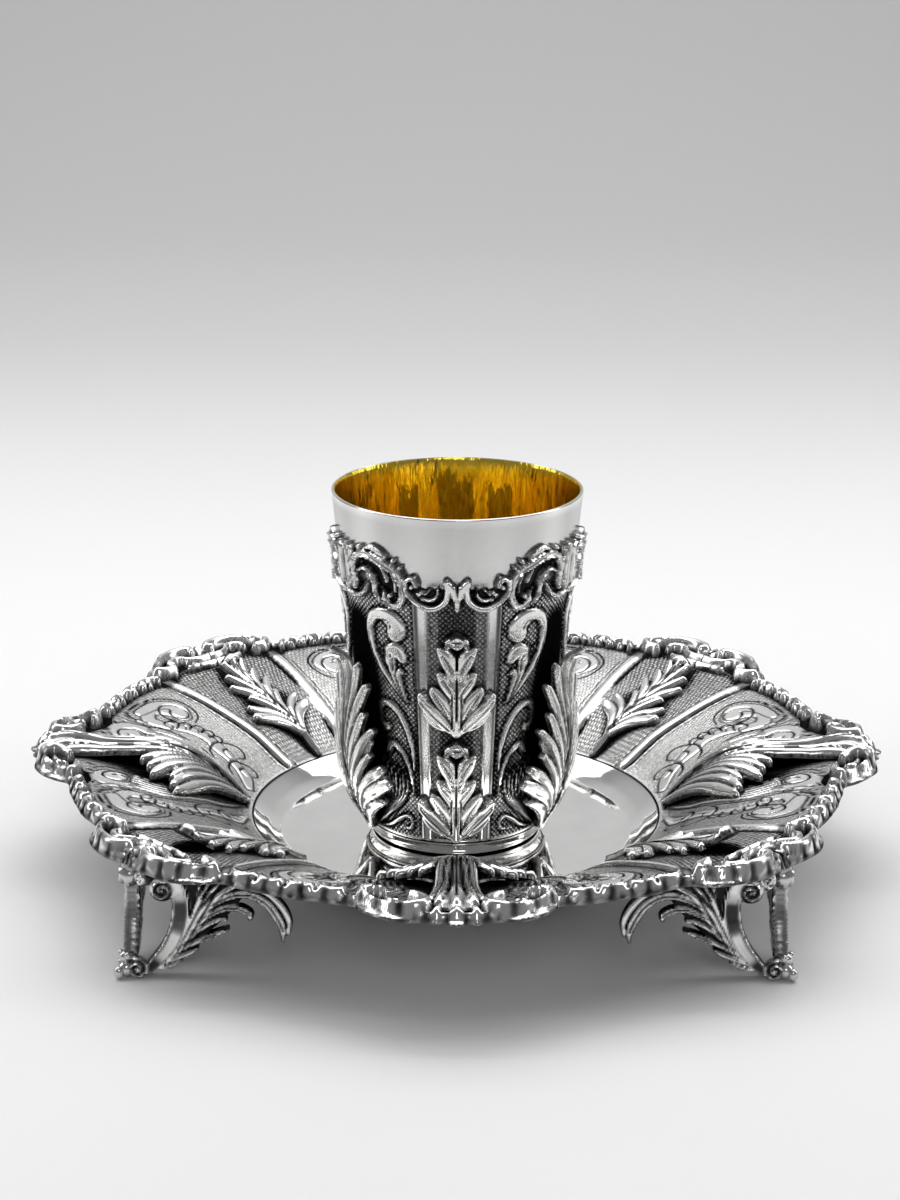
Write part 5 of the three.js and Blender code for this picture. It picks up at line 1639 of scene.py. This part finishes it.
# ---------------------------------------------------------------- floor, lights, camera
def stage_material():
    m, nt, bs = new_material("floor")
    w = N(nt)
    P = w.coord()
    col = w.mix(w.ramp(w.noise(P, 6.0, 3.0), (0.3, 0.7, 0.0, 1.0)), (0.80, 0.80, 0.80, 1), (0.82, 0.82, 0.82, 1))
    # painted shade: the sheet is made greyer towards the back, where the light falls off, and is painted lighter again
    # higher up the sweep
    s3 = nt.nodes.new("ShaderNodeSeparateXYZ")
    nt.links.new(P, s3.inputs[0])
    far_shade = nt.nodes.new("ShaderNodeMapRange")
    far_shade.interpolation_type = "SMOOTHSTEP"
    far_shade.inputs["From Min"].default_value = 0.14
    far_shade.inputs["From Max"].default_value = 0.68
    nt.links.new(s3.outputs[1], far_shade.inputs[0])
    col = w.mix(far_shade.outputs[0], col, (0.56, 0.56, 0.56, 1))
    high = nt.nodes.new("ShaderNodeMapRange")
    high.inputs["From Min"].default_value = 0.20
    high.inputs["From Max"].default_value = 0.36
    nt.links.new(s3.outputs[2], high.inputs[0])
    col = w.mix(high.outputs[0], col, (0.86, 0.86, 0.86, 1))
    nt.links.new(col, bs.inputs["Base Color"])
    bs.inputs["Roughness"].default_value = 0.55
    return m


# a sweep: the floor runs back and curves up into the backdrop
prof, zs = [], []
for y in np.linspace(-5.0, 0.9, 40):
    prof.append((y, 0.0))
for t in np.linspace(0, math.pi / 2, 14)[1:]:
    prof.append((0.9 + 0.7 * math.sin(t), 0.7 - 0.7 * math.cos(t)))
prof.append((1.6, 2.4))
V, F = [], []
xs = np.linspace(-6.0, 6.0, 21)
for y, z in prof:
    for x in xs:
        V.append((x * 1000, y * 1000, z * 1000 - 0.02))
m = len(xs)
for i in range(len(prof) - 1):
    for j in range(m - 1):
        F.append((i * m + j, i * m + j + 1, (i + 1) * m + j + 1, (i + 1) * m + j))
floor = build("floor", np.array(V), quads=np.array(F), sharp=0)
floor.data.materials.append(stage_material())


def area(name, loc, target, size, power, shape="RECTANGLE", size_y=None, color=(1, 1, 1)):
    L = bpy.data.lights.new(name, "AREA")
    L.shape = shape
    L.size = size
    if size_y:
        L.size_y = size_y
    L.energy = power
    L.color = color
    o = bpy.data.objects.new(name, L)
    o.location = loc
    d = Vector(target) - Vector(loc)
    o.rotation_euler = d.to_track_quat("-Z", "Y").to_euler()
    bpy.context.scene.collection.objects.link(o)
    return o


area("top", (0.0, 0.26, 0.95), (0, 0.05, 0.0), 1.6, 24.8, size_y=0.8)
area("key_left", (-0.95, 0.05, 0.60), (0, 0, 0.04), 0.30, 7.2, size_y=0.8)
area("key_right", (0.95, 0.12, 0.55), (0, 0, 0.04), 0.30, 6.8, size_y=0.8)
area("front", (0.10, -1.25, 0.85), (0, 0, 0.04), 0.35, 4.6, size_y=0.35)

area("backdrop", (0.0, 0.50, 1.75), (0, 1.6, 0.95), 1.2, 32.0, size_y=0.5)

world = bpy.data.worlds.new("studio")
bpy.context.scene.world = world
world.use_nodes = True
wt = world.node_tree
wt.nodes.clear()
wo = wt.nodes.new("ShaderNodeOutputWorld")
wb = wt.nodes.new("ShaderNodeBackground")
wt.links.new(wb.outputs[0], wo.inputs[0])
ww = N(wt)
gen = wt.nodes.new("ShaderNodeTexCoord").outputs["Generated"]
sep = wt.nodes.new("ShaderNodeSeparateXYZ")
wt.links.new(gen, sep.inputs[0])
up = ww.ramp(sep.outputs[2], (0.05, 0.9, 0.0, 1.0))
back = ww.ramp(sep.outputs[1], (-0.5, 0.5, 0.0, 1.0))
low = ww.mix(back, (0.58, 0.58, 0.59, 1), (0.68, 0.68, 0.695, 1))
high = ww.mix(back, (0.50, 0.50, 0.51, 1), (0.62, 0.62, 0.635, 1))
col = ww.mix(up, low, high)
wt.links.new(col, wb.inputs[0])
wb.inputs[1].default_value = 1.0

cam_data = bpy.data.cameras.new("camera")
cam_data.sensor_width = 36.0
cam_data.lens = 76.95
cam_data.clip_start = 0.01
cam_data.clip_end = 20
cam = bpy.data.objects.new("camera", cam_data)
bpy.context.scene.collection.objects.link(cam)
cam.location = (-0.0016, -0.5736, 0.2391)
pitch = math.radians(17.06)
look = Vector((0, math.cos(pitch), -math.sin(pitch)))
q = look.to_track_quat("-Z", "Y")
cam.rotation_mode = "QUATERNION"
from mathutils import Quaternion
cam.rotation_quaternion = Quaternion(look, math.radians(-0.23)) @ q
bpy.context.scene.camera = cam
bpy.context.scene.view_settings.view_transform = "Standard"
bpy.context.scene.view_settings.exposure = -1.5
